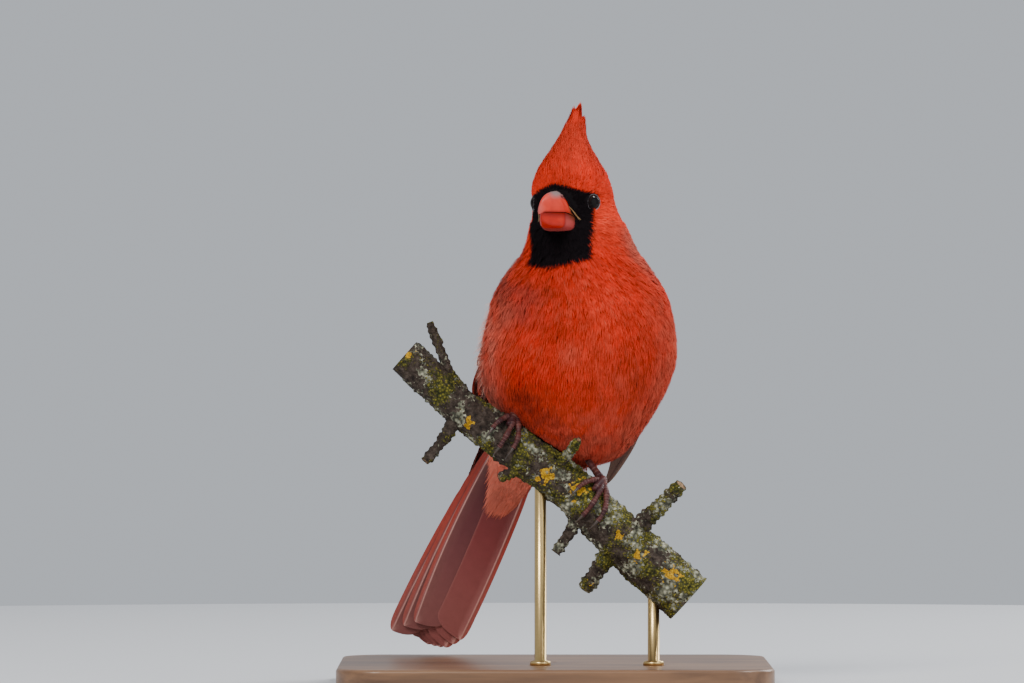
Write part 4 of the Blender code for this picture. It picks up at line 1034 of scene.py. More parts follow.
def ribbons(name, centres, side, halves, colour, uv0):
    """Pointed ribbons of plumage along paths of points."""
    n, levels = centres.shape[:2]
    half = side[:, :-1] * halves[None, :-1, None]
    pairs = np.stack([centres[:, :-1] - half, centres[:, :-1] + half], 2).reshape(n, -1, 3)
    points = np.concatenate([pairs, centres[:, -1:]], 1)
    per = points.shape[1]
    start = np.arange(n)[:, None] * per
    shapes = []
    for k in range(levels - 2):
        shapes += [(2 * k, 2 * k + 1, 2 * k + 3), (2 * k, 2 * k + 3, 2 * k + 2)]
    shapes.append((per - 3, per - 2, per - 1))
    faces = np.concatenate([start + np.array(f) for f in shapes])
    share = np.concatenate([np.repeat(np.linspace(0, 1, levels)[:-1], 2), [1.0]])
    paint = colour[:, None, :].repeat(per, 1)
    # Darker at the root and lighter towards the tip: painted shade where each lies among the others
    paint = mix(paint * 0.88, paint * 1.16, share[None, :, None])
    flat = np.stack([np.tile([-0.5, 0.5], levels)[:per], share - 0.5], -1)
    uv = uv0[:, None, :] + BLADE_CELL * flat[None]
    return new_object(name, points, faces, plumage, paint, uv)


def loose_barbs():
    """Wispy pale barbs that stand clear of the flank at the edge of the right wing."""
    count, short = 330, 110
    h = rng.uniform(103.0, 133.0, count)
    a = -1.53 + 0.10 * rng.standard_normal(count)
    h[:short], a[:short] = rng.uniform(112.0, 134.0, short), rng.uniform(-1.72, -1.50, short)
    p, normal, dh, da, _, _ = body_frame(body, h, a)
    way = -0.85 * dh + normal * rng.uniform(0.30, 0.90, (count, 1)) - da * rng.uniform(-0.2, 0.5, (count, 1))
    way[:short] += 0.9 * normal[:short]
    whole = rng.uniform(2.5, 6.0, (count, 1))
    whole[:short] *= 0.6
    sag = rng.uniform(-0.8, 0.8, (count, 1))
    centres = np.stack([p - normal * 0.6 + unit(way) * whole * t + (da * sag - dh * 0.6) * t**2
                        for t in (0.0, 0.35, 0.7, 1.0)], 1)
    side = unit(np.cross(normal, way))[:, None] * np.ones((1, 4, 1))
    colour = mix(PALER, BARB, rng.uniform(0.1, 1.0, (count, 1)))
    colour[:short] = BARB * rng.uniform(1.1, 1.5, (short, 1)) + 0.06
    made = ribbons("loose_barbs", centres, side, np.array([0.09, 0.10, 0.07, 0.0]), colour,
                   body_unwrap(h, a))
    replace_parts(made, "torso")


crest()
loose_barbs()


def head_at(forward, sideways, up):
    """Points measured forwards, to the left and up from the head's middle."""
    return (HEAD + np.asarray(forward)[..., None] * AHEAD + np.asarray(sideways)[..., None] * LEFT
            + np.asarray(up)[..., None] * UP)


# Bill: forwards from the head's middle, half width, and heights of ridge, chin and mouth
BILL_BASE, BILL_TIP, BILL_HALF = 8.0, 27.4, 6.4
CULMEN, CHIN, MOUTH, GAPE = 4.4, -9.3, -2.9, 2.9
# How much shorter the lower mandible is, half the gap between both, and how far the upper tip hooks
SHORTER, LIP_GAP, HOOK = 1.3, 0.10, 0.9
# Growth rings: forwards, depth and width; the nostril: forwards, height and depth
GROWTH_RINGS = ((15.3, 0.10, 0.5), (17.6, 0.06, 0.4))
NOSTRIL = (14.1, 2.3, 0.8)
CORAL = np.array([0.480, 0.014, 0.005])
BLOSSOM = np.array([0.630, 0.043, 0.021])
MAUVE = np.array([0.380, 0.060, 0.055])
IVORY = np.array([0.200, 0.160, 0.155])
STRAW = np.array([0.230, 0.130, 0.050])
LID_GREY = np.array([0.075, 0.066, 0.072])
LID_PALE = np.array([0.250, 0.230, 0.240])


def mouth_at(forward):
    """Height of the line of the mouth, which bends down towards its corners."""
    return MOUTH - GAPE * (1 - (forward - BILL_BASE) / 8.5).clip(0, 1) ** 1.3


def bill_shape(upper, rows, columns):
    """A ridge above the mouth or a broad trough with square corners below it, both blunt at the tip."""
    tip = BILL_TIP - (0.0 if upper else SHORTER)
    k = 1 - (1 - np.linspace(0, 1, rows)) ** 1.6
    forward = (BILL_BASE + (tip - BILL_BASE) * k)[:, None] * np.ones(columns)
    angle = np.linspace(0, math.pi, columns)[None, :] * np.ones((rows, 1))
    late = ((forward - 11.5) / (tip - 11.5)).clip(0, 1)
    mouth = mouth_at(forward)
    if upper:
        half = BILL_HALF * (1 - late**1.3) ** 0.85
        level = mouth + LIP_GAP - HOOK * smooth(0.86, 1.0, late)
        outer = level + (CULMEN - mouth) * (1 - late**2.2) ** 0.5
        lift, beside = np.sin(angle).clip(0, 1) ** 2.1, np.abs(np.cos(angle))
    else:
        half = BILL_HALF * (0.97 * (1 - late**1.12) ** 0.90)
        level = mouth - LIP_GAP
        chin = CHIN + 1.0 * smooth(10.0, 17.0, forward)
        outer = level + (chin - mouth) * (1 - late**4.2) ** 0.52
        lift, beside = np.sin(angle).clip(0, 1) ** 0.31, np.abs(np.cos(angle)) ** 0.50
    side = half * np.sign(np.cos(angle)) * beside
    groove = sum(deep * np.exp(-((forward - place) / wide) ** 2) for place, deep, wide in GROWTH_RINGS)
    # The cutting edges turn in a little
    side = side * (1 - 0.05 * np.exp(-(lift / 0.18) ** 2)) * (1 - groove * 0.25)
    up = level + (outer - level) * lift - np.sign(outer - level) * groove * lift
    return forward, angle, side, up, level, lift


def bill_half(upper, finish):
    """One mandible: its shell, and the flat of the mouth behind it."""
    rows, columns = 60, 49
    forward, angle, side, up, level, lift = bill_shape(upper, rows, columns)
    nostril = np.zeros_like(side)
    if upper:
        place, height, deep = NOSTRIL
        for sign in SIDES.values():
            away = ((forward - place) / 0.85) ** 2 + ((up - height) / 0.6) ** 2 + 9.0 * (side * sign < 0)
            pit = np.exp(-away * 1.5)
            nostril = nostril + pit
            side = side - sign * deep * pit
    shell = head_at(forward, side, up)
    inside = side[:, :1] + (side[:, -1:] - side[:, :1]) * np.linspace(0, 1, columns)[None, :]
    flat = head_at(forward, inside, level)
    tint = cloud(shell.reshape(-1, 3), 3.2, 2.0).reshape(rows, columns)
    paint = mix(BLOSSOM, CORAL, ((0.45 if upper else 1.0) + 0.3 * tint).clip(0, 1)[..., None])
    if upper:
        # Pale grey along the ridge towards the base: painted reflection of the sky; slightly paler at the
        # tip
        coats = [(IVORY, smooth(0.58, 0.92, lift) * smooth(22.5, 17.0, forward) * 0.96),
                 (IVORY * 1.4, smooth(24.5, 27.4, forward) * 0.20)]
        around = math.pi / 2 - angle
    else:
        coats = [(MAUVE * 0.9, smooth(16.4, 15.6, forward) * 0.8),
                 (CORAL * 0.3, np.exp(-((forward - 16.0) / 0.35) ** 2) * 0.5)]
        around = math.pi / 2 + angle
    # Among these, the darker band along the cutting edges is painted shade at the mouth line
    coats += [(STRAW, smooth(15.0, 12.5, forward) * smooth(0.5, 0.0, lift) * 0.9),
              (CORAL * 0.4, np.exp(-(lift / 0.09) ** 2) * 0.6), (BLACK * 3, (nostril * 0.95).clip(0, 1)),
              (BLACK, smooth(-0.2, -1.0, forward - collar_reach(around)))]
    for tone, share in coats:
        paint = mix(paint, tone, share[..., None])
    points = np.concatenate([shell, flat[:, ::-1]], 1)
    # The flat of the mouth much darker: painted shade in the gap between the mandibles
    paint = np.concatenate([paint, paint[:, ::-1] * 0.35], 1)
    half = "upper" if upper else "lower"
    made = new_object(f"bill_{half}_horn", points, grid_faces(rows, columns * 2, closed=True), finish, paint)
    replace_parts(made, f"bill_{half}")


def collar_reach(v):
    """How far forwards feathers lie on the bill: most over the nostrils, least at the mouth's corners."""
    up = np.cos(v)
    return 9.2 + 4.6 * smooth(-0.05, 0.35, up) + 1.9 * smooth(-0.1, -0.6, up)


def collar(f, v):
    """A surface just outside the bill, v from 0 at its ridge round to either side."""
    f, v = np.asarray(f, float), np.asarray(v, float)
    level = mouth_at(f)
    up = np.cos(v)
    reach = np.where(up > 0, (CULMEN - level) * np.abs(up) ** 1.9, (CHIN - level) * np.abs(up) ** 0.52)
    off = head_at(f, BILL_HALF * np.sin(v), level + reach)
    return off + 0.25 * (np.sin(v)[..., None] * LEFT + up[..., None] * UP)


def bristles():
    """Short black feathers that lie forwards over the foot of the bill."""
    f, v = rooted(collar, 7.0, 13.6, 0.50, 0.50)
    near = f < collar_reach(v) - 1.3
    f, v = f[near], v[near]

    def unwrap_at(f, v):
        return np.stack([0.5 + 0.15 * np.sin(v) * (f - 5.0) / 9.0, 0.69 + 0.05 * np.cos(v)], -1)

    tufts("mask_bristles", collar, f, v, mix(1.5, 1.9, rng.random(len(f))), 0.35, 6, 0.30,
          lambda f, v, p: np.tile(BLACK, (len(f), 1)), straight_on, unwrap_at, thin=0.16, move=None,
          stray=0.18, root=0.0)


def gape_folds(finish):
    """The straw-coloured skin at both corners of the mouth, lying on the mask."""
    rows, columns = 40, 14
    forward = np.array([15.2, 13.6, 12.1, 10.6, 9.1, 8.0])
    sideways = np.array([5.7, 6.45, 7.0, 7.6, 8.5, 9.3])
    rising = np.array([-0.9, -2.4, -3.9, -5.2, -5.9, -5.9])
    radii = [0.08, 0.20, 0.24, 0.27, 0.30, 0.12]
    folds = [bar(head_at(forward, sideways * sign, rising), radii, rows, columns, 0.6, 0.12)[0]
             for sign in SIDES.values()]
    faces = [grid_faces(rows, columns, closed=True, start=k * rows * columns) for k in range(len(folds))]
    points = np.concatenate(folds).reshape(-1, 3)
    new_object("gape", points, np.concatenate(faces), finish, np.tile(STRAW, (len(points), 1)))


horn = painted("horn of the bill", 0.42, 420.0, 0.10, gloss=0.22, bump=0.12)
bill_half(True, horn)
bill_half(False, horn)
gape_folds(horn)
bristles()


# Eyes
IRIS, PUPIL = np.array([0.016, 0.007, 0.005]), np.array([0.003, 0.002, 0.002])


def eyeball(name, middle, axis, finish):
    """A ball with its poles along the line of sight and a dark pupil in front."""
    t = np.linspace(0.002, math.pi - 0.002, 40)[:, None]
    p = np.linspace(0, 2 * math.pi, 56, endpoint=False)[None, :]
    first = unit(np.cross(axis, UP + 0.3 * FRONT))
    second = np.cross(axis, first)
    off = ((np.sin(t) * np.cos(p))[..., None] * first + (np.sin(t) * np.sin(p))[..., None] * second
           + (np.cos(t) * np.ones_like(p))[..., None] * axis)
    paint = mix(IRIS, PUPIL, smooth(0.84, 0.87, (off @ axis)[..., None]))
    faces = grid_faces(*off.shape[:2], closed=True)
    return new_object(name, middle + off * EYE_RADIUS, faces, finish, paint)


def eyes():
    """Both eyeballs, each in a ring of wrinkled skin."""
    glassy = painted("dark brown eye", 0.03, 500.0, 0.15, gloss=0.14)
    lid_finish = painted("skin of the eyelids", 0.55, 900.0, 0.2, bump=0.4, bump_scale=2600.0)
    rows, columns, wide, tall = 72, 14, 2.45, 2.72
    turn = np.linspace(0, 2 * math.pi, rows, endpoint=False)[:, None]
    section = np.linspace(0, 2 * math.pi, columns, endpoint=False)[None, :]
    thick = 0.18 * (1 + 0.12 * np.sin(turn * 22)) * (1 - 0.25 * np.sin(turn))
    below = smooth(0.3, -0.9, np.sin(turn))[..., None] * np.ones((1, columns, 1))
    paint = mix(LID_GREY, LID_PALE, below * 0.8)
    reach = np.sqrt((EYE_RADIUS + 0.12) ** 2 - (np.cos(turn) * wide) ** 2 - (np.sin(turn) * tall) ** 2)
    for name in SIDES:
        middle, out = EYES[name], EYE_OUT[name]
        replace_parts(eyeball(f"eyeball_{name}", middle, out, glassy), f"eye_{name}")
        across = unit(np.cross(UP, out))
        rim = np.cos(turn)[..., None] * across * wide + np.sin(turn)[..., None] * UP * tall
        ring = middle + rim + out * reach[..., None]
        bulge = (np.cos(section) * thick)[..., None] * unit(rim) + (np.sin(section) * thick)[..., None] * out
        new_object(f"eyelid_{name}", ring + bulge, grid_faces(rows, columns, closed=True), lid_finish, paint)


eyes()


# Branch
def line_at(across):
    """The middle of the branch there, its direction downhill and its radius."""
    across = np.atleast_1d(across).astype(float)
    height, radius = hermite(BRANCH, across).T
    ahead = hermite(BRANCH, across + 0.5)[:, 0]
    way = unit(np.stack([np.full_like(across, 0.5), np.zeros_like(across), ahead - height], -1))
    return np.stack([across, np.zeros_like(across), height], -1), way, radius


def branch_sides(way):
    """The direction square to the branch that points most nearly upwards."""
    up = unit(np.cross(way, -FRONT))
    return np.where(up[..., 2:3] > 0, up, -up)


# Patches of orange lichen on the face of the branch: across, height, how far they spread
ORANGE_SPOTS = ((-3.0, 73.5, 3.0), (7.8, 68.5, 3.8), (-29.9, 92.3, 2.4), (-50.7, 115.4, 2.2),
                (28.6, 46.1, 2.4), (10.5, 35.7, 2.8), (40.1, 38.8, 3.0), (22.0, 53.0, 1.8))


def crusts(points):
    """How much lichen, moss and orange lichen grows at each point, from about -1 to 1."""
    downhill = smooth(-38.0, 8.0, points[:, 0])
    lichen = cloud(points, 6.0, 11.0) + 0.5 * cloud(points, 2.6, 4.0) - 0.42 + 0.30 * downhill
    moss = cloud(points, 8.5, 21.0) + 0.35 * cloud(points, 3.0, 14.0) - 0.15 + 0.45 * downhill
    nearest = np.full(len(points), -2.0)
    for x, z, size in ORANGE_SPOTS:
        nearest = np.maximum(nearest, 1.1 * (1 - np.hypot(points[:, 0] - x, points[:, 2] - z) / size))
    front = smooth(3.0, -3.0, points[:, 1])
    elsewhere = cloud(points, 6.0, 33.0) - 0.75
    orange = mix(elsewhere, nearest, front) + 0.9 * cloud(points, 1.6, 37.0) - 0.1
    return np.stack([lichen, moss, orange], -1)


def rough(points, normals, grown, amount=1.0):
    """The points moved out and in by bark plates, and by the crusts that grow on them."""
    plates = cloud(points * np.array([1.0, 1.0, 0.8]), 4.5, 5.0)
    fine = cloud(points, 0.9, 15.0)
    grains = cloud(points, 1.5, 51.0)
    crust = smooth(-0.25, 0.35, grown[:, :2].max(1) + 0.35 * grains)
    high = 0.30 * plates + 0.10 * fine + crust * (0.25 + 0.45 * grains.clip(-0.3, 1) + 0.2 * fine)
    return points + normals * (amount * high)[:, None]


def bark_finish():
    """Dark bark, broken up by specks of moss and of pale and orange lichen where the paint says so."""
    made, tree, shader = nodes_of("bark and lichen", 0.9)
    where = own_place(tree)

    def blend(below, above, share):
        node = add(tree, "Mix", data_type="RGBA")
        for place, socket in ((0, share), (6, below), (7, above)):
            tree.links.new(socket, node.inputs[place])
        return node.outputs[2]

    def speckled(share, grain, amount, low, high):
        added = add(tree, "Math", grain, amount, share, operation="MULTIPLY_ADD")
        return add(tree, "MapRange", Value=added.outputs[0], From_Min=low, From_Max=high,
                   interpolation_type="SMOOTHSTEP").outputs["Result"]

    fibres = add(tree, "TexNoise", Vector=where, Scale=520.0, Detail=7.0, Roughness=0.65).outputs["Fac"]
    grains = add(tree, "TexNoise", Vector=where, Scale=1500.0, Detail=4.0, Roughness=0.6).outputs["Fac"]
    crumbs = add(tree, "TexVoronoi", Vector=where, Scale=1050.0).outputs["Distance"]
    flakes = add(tree, "TexVoronoi", Vector=where, Scale=640.0).outputs["Distance"]
    bark = ramp(tree, fibres, (0.34, (0.013, 0.009, 0.007)), (0.50, (0.040, 0.028, 0.021)),
                (0.68, (0.088, 0.066, 0.052)))
    moss = ramp(tree, crumbs, (0.05, (0.270, 0.225, 0.030)), (0.35, (0.094, 0.086, 0.014)),
                (0.75, (0.017, 0.019, 0.006)))
    lichen = ramp(tree, flakes, (0.05, (0.480, 0.460, 0.330)), (0.40, (0.200, 0.198, 0.138)),
                  (0.75, (0.045, 0.045, 0.031)))
    orange = ramp(tree, grains, (0.35, (0.200, 0.085, 0.006)), (0.62, (0.560, 0.320, 0.014)))
    sawn = ramp(tree, fibres, (0.35, (0.190, 0.105, 0.055)), (0.65, (0.420, 0.270, 0.150)))
    paint = add(tree, "VertexColor", layer_name="Paint")
    shares = add(tree, "SeparateColor", Color=paint.outputs["Color"]).outputs
    colour = blend(bark, moss, speckled(shares["Green"], grains, 1.5, 1.22, 1.42))
    colour = blend(colour, lichen, speckled(shares["Red"], crumbs, 0.9, 1.02, 1.14))
    colour = blend(colour, orange, speckled(shares["Blue"], grains, 0.8, 1.02, 1.10))
    colour = blend(colour, sawn, add(tree, "VertexColor", layer_name="Wood").outputs["Color"])
    tree.links.new(colour, shader.inputs["Base Color"])
    height = add(tree, "Math", crumbs, -0.9, fibres, operation="MULTIPLY_ADD")
    relief(tree, shader, height.outputs[0], 0.8, 0.0004)
    shader.inputs["Specular IOR Level"].default_value = 0.2
    return made


# Stubs: where they leave the branch, the turn round it, length, radius, lean along it and bend
STUBS = ((-30.4, 8.0, 25.0, 1.8, -2.0, 2.0), (-32.5, 165.0, 16.0, 2.1, 0.38, 5.0),
         (-7.0, 160.0, 6.5, 1.9, -0.5, 0.5), (-1.5, 50.0, 13.0, 1.5, 0.1, 2.5),
         (10.5, 178.0, 12.0, 2.1, 0.33, 2.0), (22.5, 188.0, 14.0, 3.1, 0.2, 0.5),
         (23.5, 20.0, 19.0, 2.8, 0.1, 2.5))
STUB_SHARES, STUB_SWELL = (0.0, 0.4, 0.7, 0.88, 1.0), (1.5, 1.05, 0.86, 0.90, 0.66)
STUB_BEND_DOWN = np.array([-0.9, 0.0, 0.45])
# Rings of a cut end, from its rim inwards, and how bare the wood of each is
END_SHARES, END_WOOD = (0.93, 0.6, 0.25, 0.01), (0.3, 1.0, 1.0, 0.8)


def ringed(rings, amount, step, seed):
    """Rings of a twig swelled into the uneven rings that its bark has."""
    middle = rings.mean(1, keepdims=True)
    along = run_along(middle[:, 0]) / step
    swell = 1 + amount * np.sin(along * 2 * math.pi + seed + 1.3 * np.sin(along * 0.9 + seed))
    return middle + (rings - middle) * swell[:, None, None]


def stub_rings(number, place, degrees, length, size, lean, bend):
    """Points and outward directions of one cut twig."""
    middle, way, radius = (v[0] for v in line_at(place))
    angle = math.radians(degrees)
    out = unit(math.cos(angle) * branch_sides(way) + math.sin(angle) * FRONT + lean * way)
    aside = (UP if out[2] > 0 else STUB_BEND_DOWN) * bend
    path = [middle + out * (radius + length) * share + aside * share**2 for share in STUB_SHARES]
    rings, outs = bar(path, [size * swell for swell in STUB_SWELL], 90, 48)
    return ringed(rings, 0.09, 2.3, number), outs


def limb_rings(rows, columns):
    """Points and outward directions of the branch itself."""
    across = np.linspace(BRANCH[0, 0], BRANCH[-1, 0], rows)
    middle, way, radius = line_at(across)
    turn = np.linspace(0, 2 * math.pi, columns, endpoint=False)[None, :, None]
    out = np.cos(turn) * branch_sides(way)[:, None] + np.sin(turn) * -FRONT
    across = across[:, None, None]
    bumps = 0.975 + 0.015 * (np.sin(3 * turn + across * 0.21) + np.sin(2 * turn - across * 0.13))
    return middle[:, None] + out * radius[:, None, None] * bumps, out


def perch():
    """The branch and its stubs, with crusts on their bark and bare wood at their ends."""
    parts = [(*limb_rings(340, 150), 1.0, 0.0)]
    parts += [(*stub_rings(number, *stub), 0.75, 0.55) for number, stub in enumerate(STUBS)]
    points, faces, grown, wood, count = [], [], [], [], 0
    for rings, outs, amount, torn in parts:
        rows, columns = rings.shape[:2]
        flat = rings.reshape(-1, 3)
        crust = crusts(flat)
        moved = rough(flat, outs.reshape(-1, 3), crust, amount)
        points.append(moved)
        grown.append(0.5 + 0.5 * crust)
        wood.append(np.zeros((len(flat), 3)))
        faces.append(grid_faces(rows, columns, closed=True, start=count))
        first, count = count, count + len(flat)
        link = np.arange(columns)
        after = (link + 1) % columns
        # Sawn or snapped ends: rings towards a point on the middle line
        for row, next_row in ((0, 1), (rows - 1, rows - 2)):
            rim = moved[row * columns:(row + 1) * columns]
            centre = rim.mean(0)
            inner = np.concatenate([mix(centre, rim, share) for share in END_SHARES])
            step = unit(rings[next_row].mean(0) - centre)
            inner = inner + step * (torn * rng.random((len(inner), 1)))
            points.append(inner)
            grown.append(np.zeros((len(inner), 3)))
            wood.append(np.repeat(END_WOOD, columns)[:, None] * np.ones(3))
            starts = [first + row * columns] + [count + k * columns for k in range(len(END_SHARES))]
            faces += [np.stack([a + link, a + after, b + after, b + link], -1)
                      for a, b in zip(starts, starts[1:])]
            count += len(inner)
    made = new_object("branch", np.concatenate(points), np.concatenate(faces), bark_finish(),
                      np.concatenate(grown))
    add_paint(made.data, "Wood", np.concatenate(wood))
    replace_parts(made, "perch_branch")


perch()


# Legs: where each foot stands on the branch, its heel, and how far each toe spreads along the branch and
# round it
FEET = {
    "left": (9.6, np.array([7.3, 9.0, 84.5]), ((-3.2, 76.0), (2.4, 112.0), (6.0, 98.0), (-1.4, -82.0))),
    "right": (-18.9, np.array([-10.5, 9.5, 102.0]),
              ((-3.2, 82.0), (1.4, 110.0), (4.8, 94.0), (-1.0, -82.0))),
}
# Round the branch from straight up, in degrees: the middle of the foot
KNUCKLE_TURN = 12.0
TARSUS, TOE = 1.15, 1.0
LEG_DARK = np.array([0.040, 0.011, 0.014])
LEG_PALE = np.array([0.140, 0.034, 0.024])
# Pale painted highlight on the swelling rims of the scutes
SCUTE_HIGHLIGHT = np.array([0.230, 0.130, 0.105])
CLAW = np.array([0.055, 0.038, 0.030])


def round_branch(place, degrees, rise):
    """A point over the bark, turned by these degrees from the top towards the front."""
    centre, way, size = (v[0] for v in line_at(place))
    up = branch_sides(way)
    angle = math.radians(degrees)
    out = math.cos(angle) * up + math.sin(angle) * FRONT
    return centre + (size * 1.03 + 0.3 + rise) * out


def scuted(path, radii, rows, columns, pitch, deep):
    """A limb with overlapping scutes: rings that swell and step back, and each ring's painted light and
    shade, lighter where it swells.
    """
    rings, _ = bar(path, radii, rows, columns)
    middle = rings.mean(1, keepdims=True)
    phase = (run_along(middle[:, 0]) / pitch) % 1.0
    step = (1 - phase) ** 1.5 * smooth(0.0, 0.12, phase)
    swell = 1 + deep * (step - 0.4)
    return middle + (rings - middle) * swell[:, None, None], 0.78 + 0.35 * step


def toe_rings(across, spread, turn):
    """One toe from the knuckle round the branch, thicker at its joints."""
    path, radii = [], []
    for k in range(13):
        share = k / 12
        joint = 1.0 + 0.13 * math.cos(share * 3 * 2 * math.pi)
        size = TOE * (1.10 - 0.3 * share) * joint
        lifted = size + 0.05 + 0.7 * max(0.0, 1 - 3 * share)
        place = across + spread * math.sin(share * math.pi / 2)
        path.append(round_branch(place, mix(KNUCKLE_TURN, turn, share), lifted))
        radii.append(size)
    return scuted(path, radii, 84, 22, 1.05, 0.12)


def leg(which, finish):
    """Shank, pad and toes in one scaled skin."""
    across, heel, toes = FEET[which]
    knuckle = round_branch(across, KNUCKLE_TURN, 1.5)
    way = unit(heel - knuckle)
    shank = [knuckle + way * 0.2, knuckle + way * 3.0, mix(knuckle, heel, 0.5), mix(knuckle, heel, 0.85),
             heel, heel + way * 4.0]
    before, behind = (round_branch(across, KNUCKLE_TURN + turn, 0.8) for turn in (-34, 40))
    parts = [scuted(shank, [TARSUS * r for r in (1.35, 1.15, 0.95, 1.05, 1.35, 1.5)], 110, 28, 1.7, 0.09),
             scuted([before, knuckle, behind], [0.9, 1.75, 0.9], 30, 28, 1.2, 0.08)]
    parts += [toe_rings(across, spread, turn) for spread, turn in toes]
    points, faces, colours, count = [], [], [], 0
    for rings, shade in parts:
        ends = [rings[0].mean(0), rings[-1].mean(0)]
        rings = np.concatenate([mix(ends[0], rings[:1], 0.05), rings, mix(ends[1], rings[-1:], 0.05)])
        rows, columns = rings.shape[:2]
        shade = np.repeat(np.concatenate([shade[:1], shade, shade[-1:]]), columns)[:, None]
        flat = rings.reshape(-1, 3)
        higher = smooth(0.0, 9.0, (flat - knuckle) @ way)
        tone = (0.30 + 0.4 * cloud(flat, 2.6, 1.0) + 0.3 * higher).clip(0, 1)[:, None]
        # Painted shade in the step behind each scute, painted light on its swell, and painted highlights on
        # the rims
        colour = mix(LEG_DARK, LEG_PALE, tone) * shade
        points.append(flat)
        colours.append(mix(colour, SCUTE_HIGHLIGHT, 0.55 * smooth(0.98, 1.10, shade)))
        faces.append(grid_faces(rows, columns, closed=True, start=count))
        count += len(flat)
    made = new_object(f"leg_{which}", np.concatenate(points), np.concatenate(faces), finish,
                      np.concatenate(colours))
    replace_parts(made, f"foot_{which}", f"shank_{which}")


def claws(which, finish):
    """A curved claw at the end of each toe, darker to its tip."""
    rows, columns = 40, 20
    across, _, toes = FEET[which]
    tone = np.repeat(np.linspace(1.25, 0.6, rows), columns)[:, None]
    for number, (spread, turn) in enumerate(toes, 1):
        path, radii = [], []
        for k in range(7):
            share = k / 6
            degrees = turn + math.copysign(-1.0 + 37.0 * share, turn)
            path.append(round_branch(across + spread, degrees, 0.75 + 0.5 * math.sin(share * math.pi)))
            radii.append(0.66 * (1 - 0.93 * share**0.8))
        rings, _ = bar(path, radii, rows, columns)
        faces = grid_faces(rows, columns, closed=True)
        made = new_object(f"claw_horn_{which}_{number}", rings, faces, finish, CLAW * tone)
        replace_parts(made, f"claw_{which}_{number}")


leg_skin = painted("scaled skin of the legs", 0.50, 800.0, 0.18, gloss=0.25, bump=0.35, bump_scale=2400.0)
claw_horn = painted("dark horn of the claws", 0.3, 700.0, 0.2, bump=0.15, bump_scale=1500.0)
for which in SIDES:
    leg(which, leg_skin)
    claws(which, claw_horn)


# Stand: size of the base, where the rods meet the branch, and radius and height round a rod's foot
BASE_SIZE, ROD_PLACES = (150.0, 126.0, 8.0), (-5.0, 34.0)
ROD_FOOT = ((0.02, 8.02), (3.6, 8.05), (3.6, 9.0), (3.3, 9.5), (2.05, 9.7))


def wood_finish():
    """Dark wood with its grain along the base."""
    made, tree, shader = nodes_of("oiled walnut", 0.42)
    place = add(tree, "Mapping", Vector=own_place(tree), Scale=(1.0, 14.0, 14.0))
    grain = add(tree, "TexNoise", Vector=place.outputs["Vector"], Scale=9.0, Detail=8.0, Roughness=0.62,
                Distortion=0.6).outputs["Fac"]
    colours = ramp(tree, grain, (0.32, (0.085, 0.038, 0.017)), (0.68, (0.27, 0.135, 0.060)))
    tree.links.new(colours, shader.inputs["Base Color"])
    relief(tree, shader, grain, 0.12, 0.0003)
    shader.inputs["Coat Weight"].default_value = 0.25
    shader.inputs["Coat Roughness"].default_value = 0.25
    return made


def brass_finish():
    """Satin brass with a slight unevenness."""
    made, tree, shader = nodes_of("satin brass", 0.28)
    shader.inputs["Metallic"].default_value = 1.0
    tint = add(tree, "TexNoise", Scale=120.0, Detail=6.0)
    colours = ramp(tree, tint.outputs["Fac"], (0.3, (0.50, 0.33, 0.12)), (0.7, (0.78, 0.57, 0.26)))
    tree.links.new(colours, shader.inputs["Base Color"])
    noise_relief(tree, shader, 500.0, 0.06, stretch=(1, 1, 12))
    return made


def base():
    """The flat wooden base, rounded at its corners and upper edge."""
    (length, depth, height), corner, edge = BASE_SIZE, 16.0, 1.2
    outline = []
    for sx, sy, first in ((1, 1, 0), (-1, 1, 90), (-1, -1, 180), (1, -1, 270)):
        for angle in np.radians(first + np.linspace(0.0, 90.0, 17)):
            outline.append((sx * (length / 2 - corner) + corner * math.cos(angle),
                            sy * (depth / 2 - corner) + corner * math.sin(angle)))
    outline = np.array(outline)

    def level(flat, z):
        return np.column_stack([flat, np.full(len(outline), z)])

    profile = [(0.5, 0.0), (0.0, 0.5), (0.0, height - edge)]
    profile += [(edge * (1 - math.cos(turn)), height - edge + edge * math.sin(turn))
                for turn in np.linspace(0.2, math.pi / 2, 7)]
    rings = [level(outline * (1 - 2 * inset / np.array([length, depth])), z) for inset, z in profile]
    rings += [level(rings[-1][:, :2] * share, height) for share in (0.8, 0.4, 0.01)]
    rings = np.stack([level(rings[0][:, :2] * 0.01, 0.0)] + rings)
    made = new_object("base", rings - SETBACK, grid_faces(*rings.shape[:2], closed=True), wood_finish())
    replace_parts(made, "stand_base")


def rods():
    """Two rods with a collar at the foot, up into the branch."""
    finish = brass_finish()
    turn = np.linspace(0, 2 * math.pi, 48, endpoint=False)
    for number, across in enumerate(ROD_PLACES, 1):
        middle, _, radius = (v[0] for v in line_at(across))
        top = middle[2] - radius * 0.9
        profile = ROD_FOOT + ((2.0, top), (1.9, top + 0.4), (0.02, top + 0.4))
        rings = np.stack([np.column_stack([across + size * np.cos(turn), size * np.sin(turn),
                                           np.full(len(turn), z)]) for size, z in profile])
        made = new_object(f"rod_{number}", rings, grid_faces(*rings.shape[:2], closed=True), finish)
        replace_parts(made, f"stand_rod_{number}")


base()
rods()


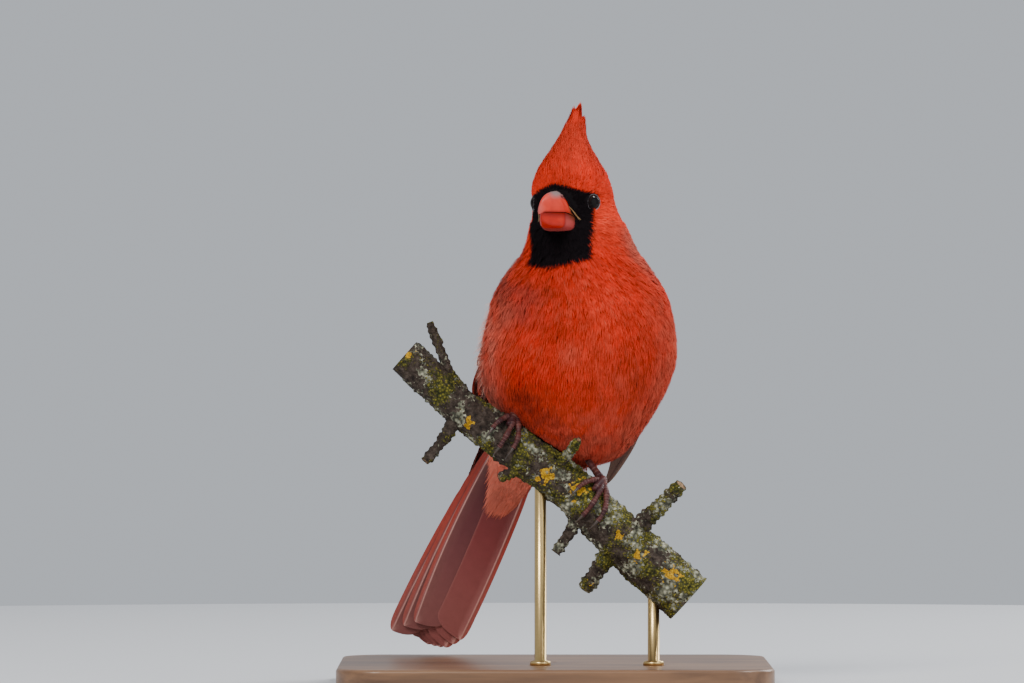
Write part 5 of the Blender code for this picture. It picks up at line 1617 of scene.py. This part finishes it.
# Stage, in metres: rings of the floor, where the lamps point, and each lamp's place, size, watts and colour
PAPER, SKY = (0.62, 0.63, 0.65), (0.72, 0.76, 0.82)
FLOOR_RINGS = (0.001, 0.2, 0.4, 0.6, 0.8)
LIT_PLACE = (0.0, -0.02, 0.12)
LAMPS = (("key", (-0.55, -1.15, 1.05), 0.5, 17.0, (1.0, 0.98, 0.95)),
         ("fill", (1.1, -1.0, 0.35), 1.8, 7.0, (0.97, 0.98, 1.0)),
         ("top", (0.75, -0.12, 1.25), 0.35, 11.0, (1.0, 1.0, 1.0)),
         ("rim", (0.7, 0.75, 0.6), 0.5, 5.0, (1.0, 1.0, 1.0)))
# The camera: its place in metres, and its lens and sensor in millimetres
CAMERA_PLACE, LENS, SENSOR_WIDTH = (-0.0148, -2.525, 0.1196), 255.0, 36.0


def plain(name, colour, roughness):
    """A matt finish of one colour."""
    made, tree, shader = nodes_of(name, roughness)
    shader.inputs["Base Color"].default_value = (*colour, 1.0)
    noise_relief(tree, shader, 60.0, 0.05)
    return made


def round_floor():
    """The pale floor under the stand."""
    turn = np.linspace(0, 2 * math.pi, 96, endpoint=False)
    ring = np.stack([np.cos(turn), np.sin(turn), np.zeros(len(turn))], -1)
    reach = np.array(FLOOR_RINGS)
    mesh = bpy.data.meshes.new("floor")
    faces = grid_faces(len(reach), len(turn), closed=True)
    mesh.from_pydata((reach[:, None, None] * ring).reshape(-1, 3).tolist(), [], faces.tolist())
    mesh.materials.append(plain("pale paper", PAPER, 0.9))
    floor = put("floor", mesh)
    floor.location.z = -0.0002


def lamp(name, place, size, power, colour):
    """A round lamp that points at the bird."""
    data = bpy.data.lights.new(name, "AREA")
    data.shape = "DISK"
    data.size = size
    data.energy = power
    data.color = colour
    lit = put(name, data)
    lit.location = place
    lit.rotation_euler = (Vector(LIT_PLACE) - Vector(place)).to_track_quat("-Z", "Y").to_euler()


def stage():
    """Floor, lamps, light from all around, and the camera."""
    round_floor()
    for settings in LAMPS:
        lamp(*settings)
    world = bpy.data.worlds.new("world")
    world.use_nodes = True
    sky = world.node_tree.nodes["Background"]
    sky.inputs["Color"].default_value = (*SKY, 1.0)
    sky.inputs["Strength"].default_value = 0.7
    bpy.context.scene.world = world
    data = bpy.data.cameras.new("camera")
    data.sensor_width = SENSOR_WIDTH
    data.lens = LENS
    data.clip_start = 0.05
    eye = put("camera", data)
    eye.location = CAMERA_PLACE
    eye.rotation_euler = (math.radians(90.0), 0.0, 0.0)
    bpy.context.scene.camera = eye


stage()
